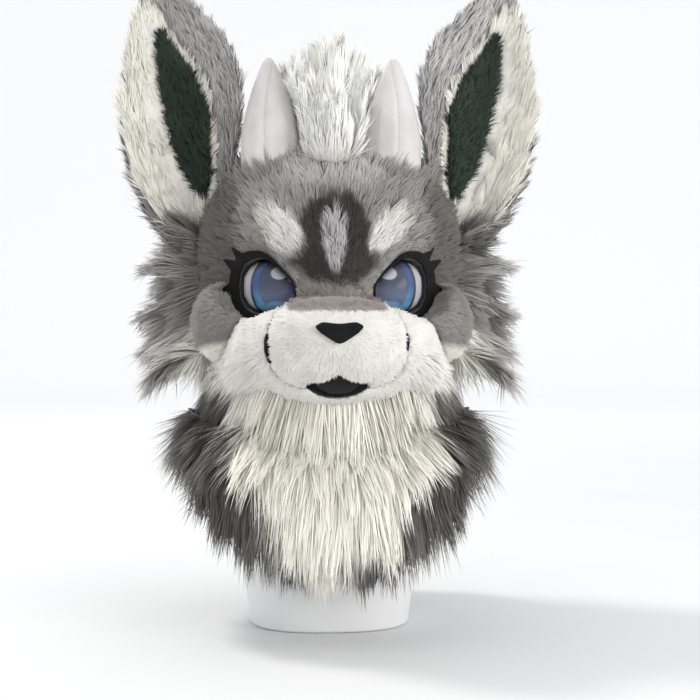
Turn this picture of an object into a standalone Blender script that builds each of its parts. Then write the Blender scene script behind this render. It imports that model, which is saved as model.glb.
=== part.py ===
"""A kemono costume head, such as is worn on stage, resting on its plain display stand.

The head faces -Y and the stand's foot is on z = 0. The wearer's left side is +X. Sizes are in
metres. Most pieces are made on the wearer's left and copied to the right at the end.
"""

import math
from collections import namedtuple

import bmesh
import bpy
from mathutils import Matrix, Vector

# Clearances
SEAM_GAP = 0.0003               # between two soft pieces that are sewn or glued together
REST_GAP = 0.0005               # between the head and the stand that carries it
WELD = 0.00002

# Head shell: padded foam with cloth over it, open at the neck
NECK_RIM_Z = 0.220
HEAD_HEIGHT = 0.273             # from the neck rim to the crown
HEAD_WIDTH = 0.268
FACE_REACH = 0.120              # from the head's upright axis to the face
BACK_REACH = 0.150
HEAD_WALL = 0.018
SECTION_POWER = 2.2             # 2 is an ellipse, more is squarer
FACE_RELIEF = 0.016             # height of the strongest rise in the face's form

# Muzzle, jaw and cheeks. A level is a share of the head's height, counted from the neck rim
MUZZLE_WIDTH = 0.136
MUZZLE_HEIGHT = 0.088
MUZZLE_LENGTH = 0.088           # ahead of the face
MUZZLE_ROOT = 0.040             # behind the face, in the head's curve
MUZZLE_LEVEL = 0.260
MUZZLE_POWER = 2.6
LIP_CLEFT = 0.006
JAW_WIDTH = 0.208
JAW_HEIGHT = 0.112
JAW_LENGTH = 0.066
JAW_ROOT = 0.110
JAW_LEVEL = 0.234
JAW_POWER = 2.4
JAW_TAPER = 0.20                # how much narrower the jaw is at its lower edge
CHEEK_WIDTH = 0.084
CHEEK_HEIGHT = 0.082
CHEEK_DEPTH = 0.106
CHEEK_LEVEL = 0.337
CHEEK_SIDE = 0.72               # share of the head's half width
CHEEK_AHEAD = 0.55              # share of the face's reach
CHEEK_POWER = 2.2

# Nose and mouth: the mouth is a pocket in the muzzle and the jaw, lined in black
NOSE_WIDTH = 0.043
NOSE_HEIGHT = 0.018
NOSE_THICKNESS = 0.005
NOSE_RISE = 0.012               # above the muzzle's middle
MOUTH_WIDTH = 0.064
MOUTH_HEIGHT = 0.026
MOUTH_DROP = 0.0365             # below the muzzle's middle
MOUTH_DEPTH = 0.036             # behind the chin
LINING_THICKNESS = 0.018
MOUTH_PANEL_SHARE = 0.70        # of the mouth's width and height
MOUTH_PANEL_THICKNESS = 0.0025

# Eyes
EYE_SPACING = 0.132
EYE_LEVEL = 0.465
EYE_WIDTH = 0.064
EYE_HEIGHT = 0.056
EYE_POWER = 2.5
LID_DISTANCE = 0.0220           # from the eye's middle to the slanting upper lid
LID_ANGLE = math.radians(132)   # from the eye's outer side upwards
EYE_TURN = math.radians(24)
EYE_SINK = 0.008
EYE_PRINT_THICKNESS = 0.002
EYE_PRINT_BULGE = 0.007
EYE_DOME_THICKNESS = 0.0015
EYE_DOME_BULGE = 0.017
EYE_FRAME_WIDTH = 0.0125
EYE_FRAME_THICKNESS = 0.0025
LASH_LENGTH = 0.015

# Ears
EAR_LEVEL = 0.645
EAR_PLACE = math.radians(94)    # round the head, from the face
EAR_SINK = 0.005
EAR_HEIGHT = 0.278
EAR_SPREAD = 0.056              # how much further out the tip is than the root
EAR_RAKE = 0.020                # how much further ahead the tip is
EAR_WIDTH = 0.128
EAR_CUP = 0.034
EAR_TURN = math.radians(14)
EAR_WALL = 0.007
EAR_LINING_THICKNESS = 0.003
EAR_CORE_THICKNESS = 0.003

# Horns
HORN_SPACING = 0.124
HORN_AHEAD = 0.050
HORN_SINK = 0.050               # from the crown down to the base
HORN_HEIGHT = 0.137
HORN_WIDTH = 0.057
HORN_DEPTH = 0.044
HORN_SPREAD = 0.0015            # how much further out the tip is than the base

# Long fur of the cheeks and the tuft
CHEEK_FUR_LENGTH = 0.062        # past the head's side
CHEEK_FUR_DEPTH = 0.124
CHEEK_FUR_HEIGHT = 0.132
CHEEK_FUR_PAD = 0.040
TUFT_HEIGHT = 0.113             # above the crown
TUFT_WIDTH = 0.058              # from the middle to the furthest tip
TUFT_AHEAD = 0.040              # from the head's axis to the tuft's middle
TUFT_SINK = 0.012
LOCK_SIDES = 4

# Neck skirt and the ruff of long fur round it
SKIRT_LENGTH = 0.126
SKIRT_WALL = 0.004
RUFF_LENGTH = 0.1655
RUFF_LIFT = 0.011               # how far a row of locks stands over the next one
RUFF_LOCK_ROWS = 3
RUFF_COLUMNS = 32
BIB_TURN = math.radians(50)
BIB_SLOPE = 0.34                # how much the white bib narrows on its way down
BACK_TURN = math.radians(112)

# Stand
STAND_HEIGHT = 0.138
STAND_FLARE = 0.150             # growth of the half width for each metre of height
STAND_SIDE_ROOM = 0.004         # between the stand and the skirt's hem
STAND_FRONT_ROOM = 0.0075
STAND_EDGE = 0.004
STAND_POWER = 2.5
POST_RADIUS = 0.018
POST_CAP_RADIUS = 0.066
POST_CAP_HEIGHT = 0.040         # from the cap's lower rim to its top

Section = namedtuple("Section", "level width front back")
# The head from the neck rim to the crown, as shares of its height, half width and reaches
HEAD_SECTIONS = (
    Section(0.00, 0.850, 0.840, 0.840),
    Section(0.13, 0.925, 0.930, 0.900),
    Section(0.30, 0.980, 0.980, 0.960),
    Section(0.46, 1.000, 1.000, 1.000),
    Section(0.62, 0.985, 0.985, 1.000),
    Section(0.77, 0.905, 0.890, 0.930),
    Section(0.89, 0.730, 0.700, 0.750),
    Section(0.97, 0.440, 0.420, 0.450),
    Section(1.00, 0.000, 0.000, 0.000),
)
# The skirt from its top to its hem, as shares of its length and of the head's other sizes
SKIRT_SECTIONS = (
    Section(0.00, 0.853, 0.825, 0.832),
    Section(0.30, 0.929, 0.898, 0.867),
    Section(0.60, 0.948, 0.917, 0.867),
    Section(0.85, 0.872, 0.853, 0.780),
    Section(1.00, 0.777, 0.788, 0.693),
)
# The ruff's outer form from its top to its lowest tips, in shares of the same kind
RUFF_SECTIONS = (
    Section(0.00, 0.907, 0.910, 0.917),
    Section(0.10, 1.110, 1.118, 1.066),
    Section(0.22, 1.182, 1.248, 1.135),
    Section(0.38, 1.194, 1.300, 1.147),
    Section(0.58, 1.110, 1.268, 1.089),
    Section(0.80, 0.884, 1.092, 0.917),
    Section(1.00, 0.669, 0.858, 0.711),
)
Form = namedtuple("Form", "name turn level turn_spread level_spread swell")
# Soft rises and dents of the face: turns in degrees, swell as a share of the relief
FACE_FORMS = (
    Form("bridge of the nose", 0, 0.42, 15, 0.16, 1.00),
    Form("left brow", 27, 0.66, 20, 0.09, 0.62),
    Form("right brow", -27, 0.66, 20, 0.09, 0.62),
    Form("left eye socket", 37, 0.47, 17, 0.12, -0.31),
    Form("right eye socket", -37, 0.47, 17, 0.12, -0.31),
)
Corner = namedtuple("Corner", "x z")
# Half of the mouth's outline from its top notch to its lowest point, as shares of its half sizes
MOUTH_OUTLINE = (
    Corner(0.00, 1.00), Corner(0.12, 0.82), Corner(0.30, 0.44), Corner(0.62, 0.28),
    Corner(0.90, 0.36), Corner(1.00, 0.22), Corner(0.88, -0.22), Corner(0.66, -0.64),
    Corner(0.36, -0.92), Corner(0.00, -1.00),
)
# Half of the nose's outline, as shares of its half sizes
NOSE_OUTLINE = (
    Corner(0.00, 0.76), Corner(0.72, 0.94), Corner(0.98, 0.60), Corner(0.76, 0.04),
    Corner(0.20, -0.84), Corner(0.00, -1.00),
)
Lash = namedtuple("Lash", "angle length half_angle")
# Points of the black eye frame, at angles from the eye's outer side upwards
LASHES = (
    Lash(44, 0.95, 7),
    Lash(28, 1.00, 7),
    Lash(-4, 0.95, 8),
)
Leaf = namedtuple("Leaf", "level width cup lean")
# An ear from its root to its tip, as shares of its width and cup. Its spine leans inwards
EAR_SECTIONS = (
    Leaf(0.00, 0.46, 0.90, 0.000),
    Leaf(0.12, 0.68, 1.00, 0.016),
    Leaf(0.26, 0.86, 1.00, 0.016),
    Leaf(0.42, 0.99, 0.95, -0.047),
    Leaf(0.56, 1.00, 0.85, -0.102),
    Leaf(0.70, 0.82, 0.70, -0.109),
    Leaf(0.82, 0.53, 0.55, -0.078),
    Leaf(0.92, 0.27, 0.35, -0.031),
    Leaf(1.00, 0.06, 0.20, 0.000),
)
Span = namedtuple("Span", "level inner outer")
# The white lining and the dark core of an ear, from side to side as shares of its half width
EAR_LINING = (
    Span(0.05, -0.40, 0.80),
    Span(0.20, -0.52, 0.90),
    Span(0.42, -0.50, 0.93),
    Span(0.60, -0.28, 0.93),
    Span(0.74, 0.05, 0.93),
    Span(0.86, 0.34, 0.90),
)
EAR_CORE = (
    Span(0.15, -0.32, -0.16),
    Span(0.28, -0.43, 0.14),
    Span(0.44, -0.40, 0.32),
    Span(0.60, -0.16, 0.42),
    Span(0.70, 0.10, 0.44),
    Span(0.78, 0.28, 0.40),
)
Slice = namedtuple("Slice", "level width depth lean")
# A horn from its base to its rounded tip, as shares of its sizes
HORN_SECTIONS = (
    Slice(0.00, 0.86, 0.86, 0.00),
    Slice(0.18, 0.97, 0.97, -0.15),
    Slice(0.36, 1.00, 1.00, -0.20),
    Slice(0.56, 0.86, 0.88, -0.05),
    Slice(0.76, 0.58, 0.62, 0.35),
    Slice(0.91, 0.31, 0.34, 0.80),
    Slice(0.98, 0.15, 0.17, 0.97),
    Slice(1.00, 0.00, 0.00, 1.00),
)
Lock = namedtuple("Lock", "turn level length rise back width")
# Locks behind the cheek: roots on the head, the rest as shares of the cheek fur's length
CHEEK_LOCKS = (
    Lock(88, 0.64, 0.62, 0.35, 0.06, 0.74),
    Lock(86, 0.53, 1.00, 0.00, 0.03, 0.87),
    Lock(86, 0.42, 0.94, -0.26, 0.10, 0.90),
    Lock(86, 0.31, 0.91, -0.39, 0.06, 0.90),
    Lock(72, 0.22, 0.75, -0.32, 0.06, 0.81),
    Lock(108, 0.58, 0.56, 0.16, 0.52, 0.90),
    Lock(110, 0.42, 0.75, -0.23, 0.55, 0.97),
    Lock(106, 0.25, 0.62, -0.32, 0.52, 0.90),
)
Spike = namedtuple("Spike", "x y tip_x tip_y height width")
# Locks of the tuft: roots and tips from its middle as shares of its width, and its height
TUFT_LOCKS = (
    Spike(0.00, -0.52, 0.00, -0.93, 0.30, 0.69),
    Spike(-0.31, -0.28, -0.69, -0.52, 0.62, 0.72),
    Spike(0.34, -0.28, 0.76, -0.55, 0.60, 0.72),
    Spike(0.00, -0.10, 0.07, -0.38, 0.86, 0.83),
    Spike(-0.38, 0.17, -0.86, 0.07, 0.90, 0.76),
    Spike(0.41, 0.17, 1.00, 0.10, 0.84, 0.76),
    Spike(-0.07, 0.34, -0.24, 0.21, 1.00, 0.86),
    Spike(0.24, 0.52, 0.55, 0.59, 0.96, 0.79),
    Spike(-0.31, 0.72, -0.66, 0.97, 0.84, 0.79),
    Spike(0.10, 1.00, 0.17, 1.48, 0.70, 0.79),
)

HEAD_ROWS = 12
HEAD_COLUMNS = 28
SKIRT_ROWS = 5
EYE_SIDES = 18
EYE_FRAME_SIDES = 30
HORN_ROWS = 10
HORN_SIDES = 12
STAND_SIDES = 32
POST_SIDES = 16

for old in list(bpy.data.objects):
    bpy.data.objects.remove(old)
parts = bpy.data.collections.new("kemono_head_on_stand")
cutters = bpy.data.collections.new("cutters")
cutters.hide_render = True
for collection in (parts, cutters):
    bpy.context.scene.collection.children.link(collection)


# Finishes

def finish(name, colour, roughness, alpha=1.0):
    """A plain finish, named for what the piece is made of."""
    made = bpy.data.materials.new(name)
    made.use_nodes = True
    shader = made.node_tree.nodes["Principled BSDF"]
    shader.inputs["Base Color"].default_value = (*colour, 1.0)
    shader.inputs["Roughness"].default_value = roughness
    shader.inputs["Metallic"].default_value = 0.0
    shader.inputs["Alpha"].default_value = alpha
    return made


GREY_FUR = finish("grey_fur", (0.30, 0.29, 0.30), 0.9)
WHITE_FUR = finish("white_fur", (0.86, 0.85, 0.80), 0.9)
DARK_FUR = finish("dark_fur", (0.13, 0.12, 0.12), 0.9)
GREEN_FUR = finish("green_fur", (0.01, 0.05, 0.025), 0.9)
WHITE_PLUSH = finish("white_plush", (0.88, 0.87, 0.84), 0.9)
GREY_PLUSH = finish("grey_plush", (0.38, 0.36, 0.36), 0.9)
BLACK_PLUSH = finish("black_plush", (0.012, 0.012, 0.013), 0.8)
HORN_SUEDE = finish("horn_suede", (0.76, 0.74, 0.75), 0.8)
VENT_CLOTH = finish("vent_cloth", (0.05, 0.05, 0.052), 0.5)
EYE_PRINT = finish("eye_print", (0.16, 0.33, 0.70), 0.4)
CLEAR_DOME = finish("clear_dome", (0.95, 0.97, 1.0), 0.03, alpha=0.2)
STAND_WHITE = finish("stand_white", (0.86, 0.86, 0.87), 0.45)


# Ways of making meshes

def add_object(name, mesh, group):
    """An object in the group of parts, or among the cutters, which are not part of the model."""
    made = bpy.data.objects.new(name, mesh)
    group.objects.link(made)
    if group is cutters:
        made.hide_render = True
        made.display_type = "WIRE"
    return made


def object_from(work, name, material, group):
    """An object from a mesh in the making, with its faces turned outwards."""
    mesh = bpy.data.meshes.new(name)
    bmesh.ops.recalc_face_normals(work, faces=work.faces)
    work.to_mesh(mesh)
    work.free()
    mesh.materials.append(material)
    return add_object(name, mesh, group)


def split_alike(points, faces):
    """Splits quads the same way in a piece and in the cutter of its seat, mirrored about X."""
    made = []
    for face in faces:
        if len(face) != 4:
            made.append(face)
            continue
        a, b, c, d = face
        if sum(points[corner][0] for corner in face) > -WELD:
            made += [(a, b, c), (a, c, d)]
        else:
            made += [(a, b, d), (b, c, d)]
    return made


def mesh_object(name, points, faces, material, group=parts):
    """An object from points and faces, shaded smooth."""
    work = bmesh.new()
    corners = [work.verts.new(point) for point in points]
    for face in split_alike(points, faces):
        work.faces.new([corners[index] for index in face]).smooth = True
    return object_from(work, name, material, group)


def evaluated_mesh(source):
    """The mesh of an object with its modifiers and its place applied."""
    bpy.context.view_layer.update()
    graph = bpy.context.evaluated_depsgraph_get()
    mesh = bpy.data.meshes.new_from_object(source.evaluated_get(graph))
    mesh.transform(source.matrix_world)
    return mesh


def faces_joined_to(face):
    """All faces that a face is connected with."""
    found, waiting = {face}, [face]
    while waiting:
        for edge in waiting.pop().edges:
            for other in edge.link_faces:
                if other not in found:
                    found.add(other)
                    waiting.append(other)
    return found


def drop_crumbs(mesh):
    """Welds points that a cut left on top of each other, and keeps only the largest body."""
    work = bmesh.new()
    work.from_mesh(mesh)
    bmesh.ops.remove_doubles(work, verts=work.verts, dist=WELD)
    bmesh.ops.dissolve_degenerate(work, dist=WELD, edges=work.edges)
    left = set(work.faces)
    bodies = []
    while left:
        body = faces_joined_to(next(iter(left)))
        bodies.append(body)
        left -= body
    bodies.sort(key=lambda body: sum(face.calc_area() for face in body))
    crumbs = [face for body in bodies[:-1] for face in body]
    bmesh.ops.delete(work, geom=crumbs, context="FACES")
    work.to_mesh(mesh)
    work.free()


def shape_with(target, operation, others):
    """Cuts, joins or trims the target with each of the others, and applies the result."""
    for other in others:
        boolean = target.modifiers.new(operation.lower(), "BOOLEAN")
        boolean.operation = operation
        boolean.solver = "EXACT"
        boolean.object = other
        target.data = evaluated_mesh(target)
        target.modifiers.clear()
        drop_crumbs(target.data)
    return target


def fused(name, pieces, material):
    """One body made of overlapping shapes."""
    body = shape_with(pieces[0], "UNION", pieces[1:])
    for piece in pieces[1:]:
        bpy.data.objects.remove(piece)
    body.name = name
    body.data.materials.clear()
    body.data.materials.append(material)
    for face in body.data.polygons:
        face.material_index = 0
    return body


def mirrored(source, name, group=parts):
    """The wearer's right-hand copy of a left-hand piece."""
    mesh = source.data.copy()
    mesh.transform(Matrix.Scale(-1, 4, Vector((1, 0, 0))))
    mesh.flip_normals()
    return add_object(name, mesh, group)


def strip(low, high, size):
    """Quads between two rings of points, which begin at these places in the list."""
    return [(low + index, low + (index + 1) % size, high + (index + 1) % size, high + index)
            for index in range(size)]


def fan(ring, size, tip):
    """Triangles between a ring of points and a single one."""
    return [(ring + index, ring + (index + 1) % size, tip) for index in range(size)]


def tube(rings, closed=False):
    """The points of a row of rings, and the quads between them."""
    size = len(rings[0])
    faces = [quad for ring in range(len(rings) - (0 if closed else 1))
             for quad in strip(ring * size, (ring + 1) % len(rings) * size, size)]
    return [point for ring in rings for point in ring], faces


def loft(name, rings, material, group=parts, tip=None):
    """A closed body through rings of points, with a flat end or a tip past the last ring."""
    size = len(rings[0])
    points, faces = tube(rings)
    faces.append(tuple(reversed(range(size))))
    last = len(points) - size
    if tip is None:
        faces.append(tuple(range(last, last + size)))
    else:
        points.append(tip)
        faces += fan(last, size, last + size)
    return mesh_object(name, points, faces, material, group)


def prism(name, outline, frame, near, far, material, group=parts):
    """A flat outline extruded along its frame's third axis between two distances."""
    curve = bpy.data.curves.new(name, "CURVE")
    curve.dimensions = "2D"
    curve.fill_mode = "BOTH"
    curve.extrude = (far - near) / 2
    spline = curve.splines.new("POLY")
    spline.points.add(len(outline) - 1)
    for point, place in zip(spline.points, outline):
        point.co = (*place, 0, 1)
    spline.use_cyclic_u = True
    drawn = add_object(name, curve, cutters)
    drawn.matrix_world = frame @ Matrix.Translation((0, 0, (far + near) / 2))
    work = bmesh.new()
    work.from_mesh(evaluated_mesh(drawn))
    bpy.data.objects.remove(drawn)
    bmesh.ops.remove_doubles(work, verts=work.verts, dist=WELD)
    return object_from(work, name, material, group)


def upright_bar(name, radius, bottom, top, material, group=parts):
    """A round bar on the head's axis."""
    work = bmesh.new()
    bmesh.ops.create_cone(work, cap_ends=True, segments=POST_SIDES, radius1=radius,
                          radius2=radius, depth=top - bottom,
                          matrix=Matrix.Translation((0, 0, (top + bottom) / 2)))
    return object_from(work, name, material, group)


def facing_frame(origin, across, ahead):
    """A frame at a place: its first axis runs across, its second up and its third ahead."""
    frame = Matrix((across, Vector((0, 0, 1)), ahead)).transposed().to_4x4()
    frame.translation = origin
    return frame


def whole_outline(half_outline, half_width, half_height):
    """A closed outline from its left half, whose first and last corners are on the middle."""
    corners = [(corner.x * half_width, corner.z * half_height) for corner in half_outline]
    return corners + [(-x, z) for x, z in reversed(corners[1:-1])]


# Ways of reading the tables

def read_table(rows, at):
    """A smooth value of every column of a table, at a place counted in rows."""
    last = len(rows) - 1
    low = min(int(at), last - 1)
    share = at - low
    a, b, c, d = (rows[min(max(low + step, 0), last)] for step in (-1, 0, 1, 2))
    made = []
    for p, q, r, s in zip(a, b, c, d):
        made.append(0.5 * (2 * q + (r - p) * share + (2 * p - 5 * q + 4 * r - s) * share ** 2
                           + (3 * q - p - 3 * r + s) * share ** 3))
    return type(rows[0])(*made)


def row_of(rows, level):
    """The place in a table, counted in rows, where its level has this value."""
    low, high = 0.0, float(len(rows) - 1)
    for _ in range(40):
        middle = (low + high) / 2
        if read_table(rows, middle).level < level:
            low = middle
        else:
            high = middle
    return (low + high) / 2


def oval(turn, half_width, front, back, power=SECTION_POWER):
    """A point of a rounded section: x and y at a turn from the front towards +X."""
    side, ahead = math.sin(turn), math.cos(turn)
    x = math.copysign(abs(side) ** (2 / power), side) * half_width
    y = -math.copysign(abs(ahead) ** (2 / power), ahead) * (front if ahead > 0 else back)
    return x, y


def head_oval(turn, section, out=0.0):
    """A point of a section whose shares are of the head's half width and reaches."""
    return oval(turn, section.width * HEAD_WIDTH / 2 + out, section.front * FACE_REACH + out,
                section.back * BACK_REACH + out)


def round_turns(count):
    return [math.tau * step / count for step in range(count)]


# The head's skin

CROWN_Z = NECK_RIM_Z + HEAD_HEIGHT
CROWN_ROW = len(HEAD_SECTIONS) - 1


def level_z(level):
    return NECK_RIM_Z + level * HEAD_HEIGHT


def bare_head_point(turn, at):
    """A point of the head without the forms of its face."""
    section = read_table(HEAD_SECTIONS, at)
    return Vector((*head_oval(turn, section), level_z(section.level)))


def head_normal(turn, at):
    """The outward direction of the head's skin."""
    step = 0.02
    high = min(at + step, CROWN_ROW - step)
    across = bare_head_point(turn + step, high) - bare_head_point(turn - step, high)
    up = bare_head_point(turn, high) - bare_head_point(turn, high - 2 * step)
    return across.cross(up).normalized()


def head_point(turn, at, out=0.0):
    """A point of the head's skin, raised by out."""
    level = read_table(HEAD_SECTIONS, at).level
    degrees = math.degrees(math.atan2(math.sin(turn), math.cos(turn)))
    swell = 0.0
    for form in FACE_FORMS:
        off = ((degrees - form.turn) / form.turn_spread) ** 2
        off += ((level - form.level) / form.level_spread) ** 2
        swell += form.swell * FACE_RELIEF * math.exp(-off)
    return bare_head_point(turn, at) + head_normal(turn, at) * (swell + out)


def crown_point(out):
    return Vector((0, 0, CROWN_Z + out))


def head_rings(out):
    """Rings of the head's skin from the neck rim to just under the crown."""
    return [[head_point(turn, CROWN_ROW * row / HEAD_ROWS, out)
             for turn in round_turns(HEAD_COLUMNS)] for row in range(HEAD_ROWS)]


def head_solid(name, out, group=cutters):
    """The head's outer form as a filled body, a little longer at the neck."""
    rings = head_rings(out)
    rings.insert(0, [p - Vector((0, 0, HEAD_WALL)) for p in rings[0]])
    return loft(name, rings, STAND_WHITE, group, tip=crown_point(out))


head_points, head_faces = [], []
for out in (0.0, -HEAD_WALL):
    first = len(head_points)
    skin_points, skin_faces = tube(head_rings(out))
    head_points += [*skin_points, crown_point(out)]
    head_faces += [tuple(first + index for index in quad) for quad in skin_faces]
    crown = len(head_points) - 1
    head_faces += fan(crown - HEAD_COLUMNS, HEAD_COLUMNS, crown)
head_faces += strip(0, first, HEAD_COLUMNS)
head_shell = mesh_object("head_shell", head_points, head_faces, GREY_FUR)
head_seat = head_solid("head_seat", SEAM_GAP)


# Soft cushions: muzzle, jaw and cheeks

def cushion(name, centre, radii, power, material, group=parts, form=None, around=18, up=11):
    """A rounded box from a sphere, which form may dent further."""
    ball = bmesh.new()
    bmesh.ops.create_uvsphere(ball, u_segments=around, v_segments=up, radius=1.0)
    points = []
    for vertex in ball.verts:
        spread = sum(abs(c) ** power for c in vertex.co) ** (-1 / power)
        place = Vector(c * spread * r for c, r in zip(vertex.co, radii))
        points.append((form(place) if form else place) + centre)
    faces = [tuple(corner.index for corner in face.verts) for face in ball.faces]
    ball.free()
    return mesh_object(name, points, faces, material, group)


def split_lip(place):
    """The cleft under the nose: the middle of the muzzle's lower edge is drawn up and in."""
    middle = math.exp(-(place.x / (MUZZLE_WIDTH * 0.11)) ** 2)
    low = max(0.0, -place.z / (MUZZLE_HEIGHT / 2))
    ahead = max(0.0, -place.y / ((MUZZLE_LENGTH + MUZZLE_ROOT) / 2))
    return place + Vector((0, ahead, 1)) * (middle * low * LIP_CLEFT)


def narrow_chin(place):
    """Draws the jaw in towards its lower edge."""
    low = max(0.0, -place.z / (JAW_HEIGHT / 2))
    return Vector((place.x * (1 - JAW_TAPER * low ** 2), place.y, place.z))


def muzzle_body(name, out, group):
    centre = Vector((0, -FACE_REACH - (MUZZLE_LENGTH - MUZZLE_ROOT) / 2, level_z(MUZZLE_LEVEL)))
    radii = (MUZZLE_WIDTH / 2 + out, (MUZZLE_LENGTH + MUZZLE_ROOT) / 2 + out,
             MUZZLE_HEIGHT / 2 + out)
    return cushion(name, centre, radii, MUZZLE_POWER, WHITE_PLUSH, group, split_lip)


def jaw_body(name, out, group):
    centre = Vector((0, -FACE_REACH - (JAW_LENGTH - JAW_ROOT) / 2, level_z(JAW_LEVEL)))
    radii = (JAW_WIDTH / 2 + out, (JAW_LENGTH + JAW_ROOT) / 2 + out, JAW_HEIGHT / 2 + out)
    return cushion(name, centre, radii, JAW_POWER, WHITE_PLUSH, group, narrow_chin)


def cheek_body(name, out, group):
    centre = Vector((CHEEK_SIDE * HEAD_WIDTH / 2, -CHEEK_AHEAD * FACE_REACH,
                     level_z(CHEEK_LEVEL)))
    radii = (CHEEK_WIDTH / 2 + out, CHEEK_DEPTH / 2 + out, CHEEK_HEIGHT / 2 + out)
    return cushion(name, centre, radii, CHEEK_POWER, GREY_PLUSH, group, around=14, up=9)


muzzle_z = level_z(MUZZLE_LEVEL)
muzzle_front = FACE_REACH + MUZZLE_LENGTH
mouth_floor = FACE_REACH + JAW_LENGTH - MOUTH_DEPTH
mouth_frame = facing_frame(Vector((0, 0, muzzle_z - MOUTH_DROP)), Vector((1, 0, 0)),
                           Vector((0, -1, 0)))


def mouth_outline(share, inset):
    return whole_outline(MOUTH_OUTLINE, MOUTH_WIDTH / 2 * share - inset,
                         MOUTH_HEIGHT / 2 * share - inset)


mouth_cutter = prism("mouth_cutter", mouth_outline(1.0, 0.0), mouth_frame, mouth_floor,
                     muzzle_front + MUZZLE_ROOT, BLACK_PLUSH, cutters)
muzzle_seat = muzzle_body("muzzle_seat", SEAM_GAP, cutters)
jaw_seat = jaw_body("jaw_seat", SEAM_GAP, cutters)
cheek_seat = cheek_body("cheek_seat", SEAM_GAP, cutters)
muzzle = muzzle_body("muzzle", 0.0, parts)
shape_with(muzzle, "DIFFERENCE", (head_seat, mouth_cutter))
jaw = jaw_body("jaw", 0.0, parts)
shape_with(jaw, "DIFFERENCE", (mouth_cutter, muzzle_seat, head_seat))
cheek_left = cheek_body("cheek_left", 0.0, parts)

lining_near = mouth_floor + SEAM_GAP
panel_near = lining_near + LINING_THICKNESS + SEAM_GAP
prism("mouth_lining", mouth_outline(1.0, SEAM_GAP * 2), mouth_frame, lining_near,
      lining_near + LINING_THICKNESS, BLACK_PLUSH)
prism("mouth_panel", mouth_outline(MOUTH_PANEL_SHARE, 0.0), mouth_frame, panel_near,
      panel_near + MOUTH_PANEL_THICKNESS, VENT_CLOTH)

nose_frame = facing_frame(Vector((0, -muzzle_front, muzzle_z + NOSE_RISE)), Vector((1, 0, 0)),
                          Vector((0, -1, 0)))
nose = prism("nose", whole_outline(NOSE_OUTLINE, NOSE_WIDTH / 2, NOSE_HEIGHT / 2), nose_frame,
             -MUZZLE_ROOT, MUZZLE_ROOT, BLACK_PLUSH)
nose_front = muzzle_body("nose_front", NOSE_THICKNESS, cutters)
shape_with(nose, "INTERSECT", (nose_front,))
shape_with(nose, "DIFFERENCE", (muzzle_seat,))


# Eyes: a socket through the wall, a printed bowl, a clear dome and a black frame

def face_point(x, level):
    """The point of the face's skin at this distance from the middle, at a level."""
    at = row_of(HEAD_SECTIONS, level)
    half_width = read_table(HEAD_SECTIONS, at).width * HEAD_WIDTH / 2
    return head_point(math.asin(min(x / half_width, 1.0) ** (SECTION_POWER / 2)), at)


def eye_reach(angle):
    """How far the eye's rim is from its middle: a rounded oval under a slanting lid."""
    across = abs(math.cos(angle)) * 2 / EYE_WIDTH
    high = abs(math.sin(angle)) * 2 / EYE_HEIGHT
    bound = (across ** EYE_POWER + high ** EYE_POWER) ** (1 / EYE_POWER)
    lid = max(0.0, math.cos(angle - LID_ANGLE)) / LID_DISTANCE
    return (bound ** 10 + lid ** 10) ** -0.1


def degrees_off(angle, lash):
    return abs((angle - lash.angle + 180) % 360 - 180)


def frame_reach(angle):
    """How far the black frame reaches: a band that grows outwards, and lashes."""
    outward = 0.5 + 0.5 * math.cos(angle - math.radians(12))
    reach = eye_reach(angle) + EYE_FRAME_WIDTH * (0.16 + 0.84 * outward ** 2)
    for lash in LASHES:
        off = degrees_off(math.degrees(angle), lash)
        reach += LASH_LENGTH * lash.length * max(0.0, 1 - off / lash.half_angle)
    return reach


def frame_angles():
    """Even steps round the eye, and the feet and the point of every lash."""
    angles = {360 * step / EYE_FRAME_SIDES for step in range(EYE_FRAME_SIDES)}
    for lash in LASHES:
        angles = {angle for angle in angles if degrees_off(angle, lash) > lash.half_angle}
        angles |= {(lash.angle + side * lash.half_angle) % 360 for side in (-1, 0, 1)}
    return [math.radians(angle) for angle in sorted(angles)]


def eye_outline(angles, reach, out):
    """An outline in the eye's own plane, made wider by out."""
    return [((reach(angle) + out) * math.cos(angle), (reach(angle) + out) * math.sin(angle))
            for angle in angles]


EYE_ANGLES = round_turns(EYE_SIDES)
FRAME_ANGLES = frame_angles()
EYE_THROUGH = HEAD_WALL * 2         # how far the eye's cutters run in and out of the skin
eye_frame = facing_frame(face_point(EYE_SPACING / 2, EYE_LEVEL),
                         Vector((math.cos(EYE_TURN), math.sin(EYE_TURN), 0)),
                         Vector((math.sin(EYE_TURN), -math.cos(EYE_TURN), 0)))


def eye_cap(name, inset, bulge, thickness, material, steps=3):
    """A curved cap with a flat rim: an outer and an inner half oval on the same base."""
    rings = []
    for wall, order in ((0.0, range(steps)), (thickness, reversed(range(steps)))):
        outline = eye_outline(EYE_ANGLES, eye_reach, -inset - wall)
        for step in order:
            share = math.cos(math.pi / 2 * step / steps)
            rise = math.sin(math.pi / 2 * step / steps) * (bulge - wall) - EYE_SINK
            rings.append([eye_frame @ Vector((x * share, y * share, rise)) for x, y in outline])
    points = [p for ring in rings for p in ring]
    faces = []
    for ring in range(2 * steps):
        if ring != steps - 1:
            after = (ring + 1) % (2 * steps)
            faces += strip(ring * EYE_SIDES, after * EYE_SIDES, EYE_SIDES)
    for wall, ring in ((0.0, steps - 1), (thickness, steps)):
        faces += fan(ring * EYE_SIDES, EYE_SIDES, len(points))
        points.append(eye_frame @ Vector((0, 0, bulge - wall - EYE_SINK)))
    return mesh_object(name, points, faces, material)


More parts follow.
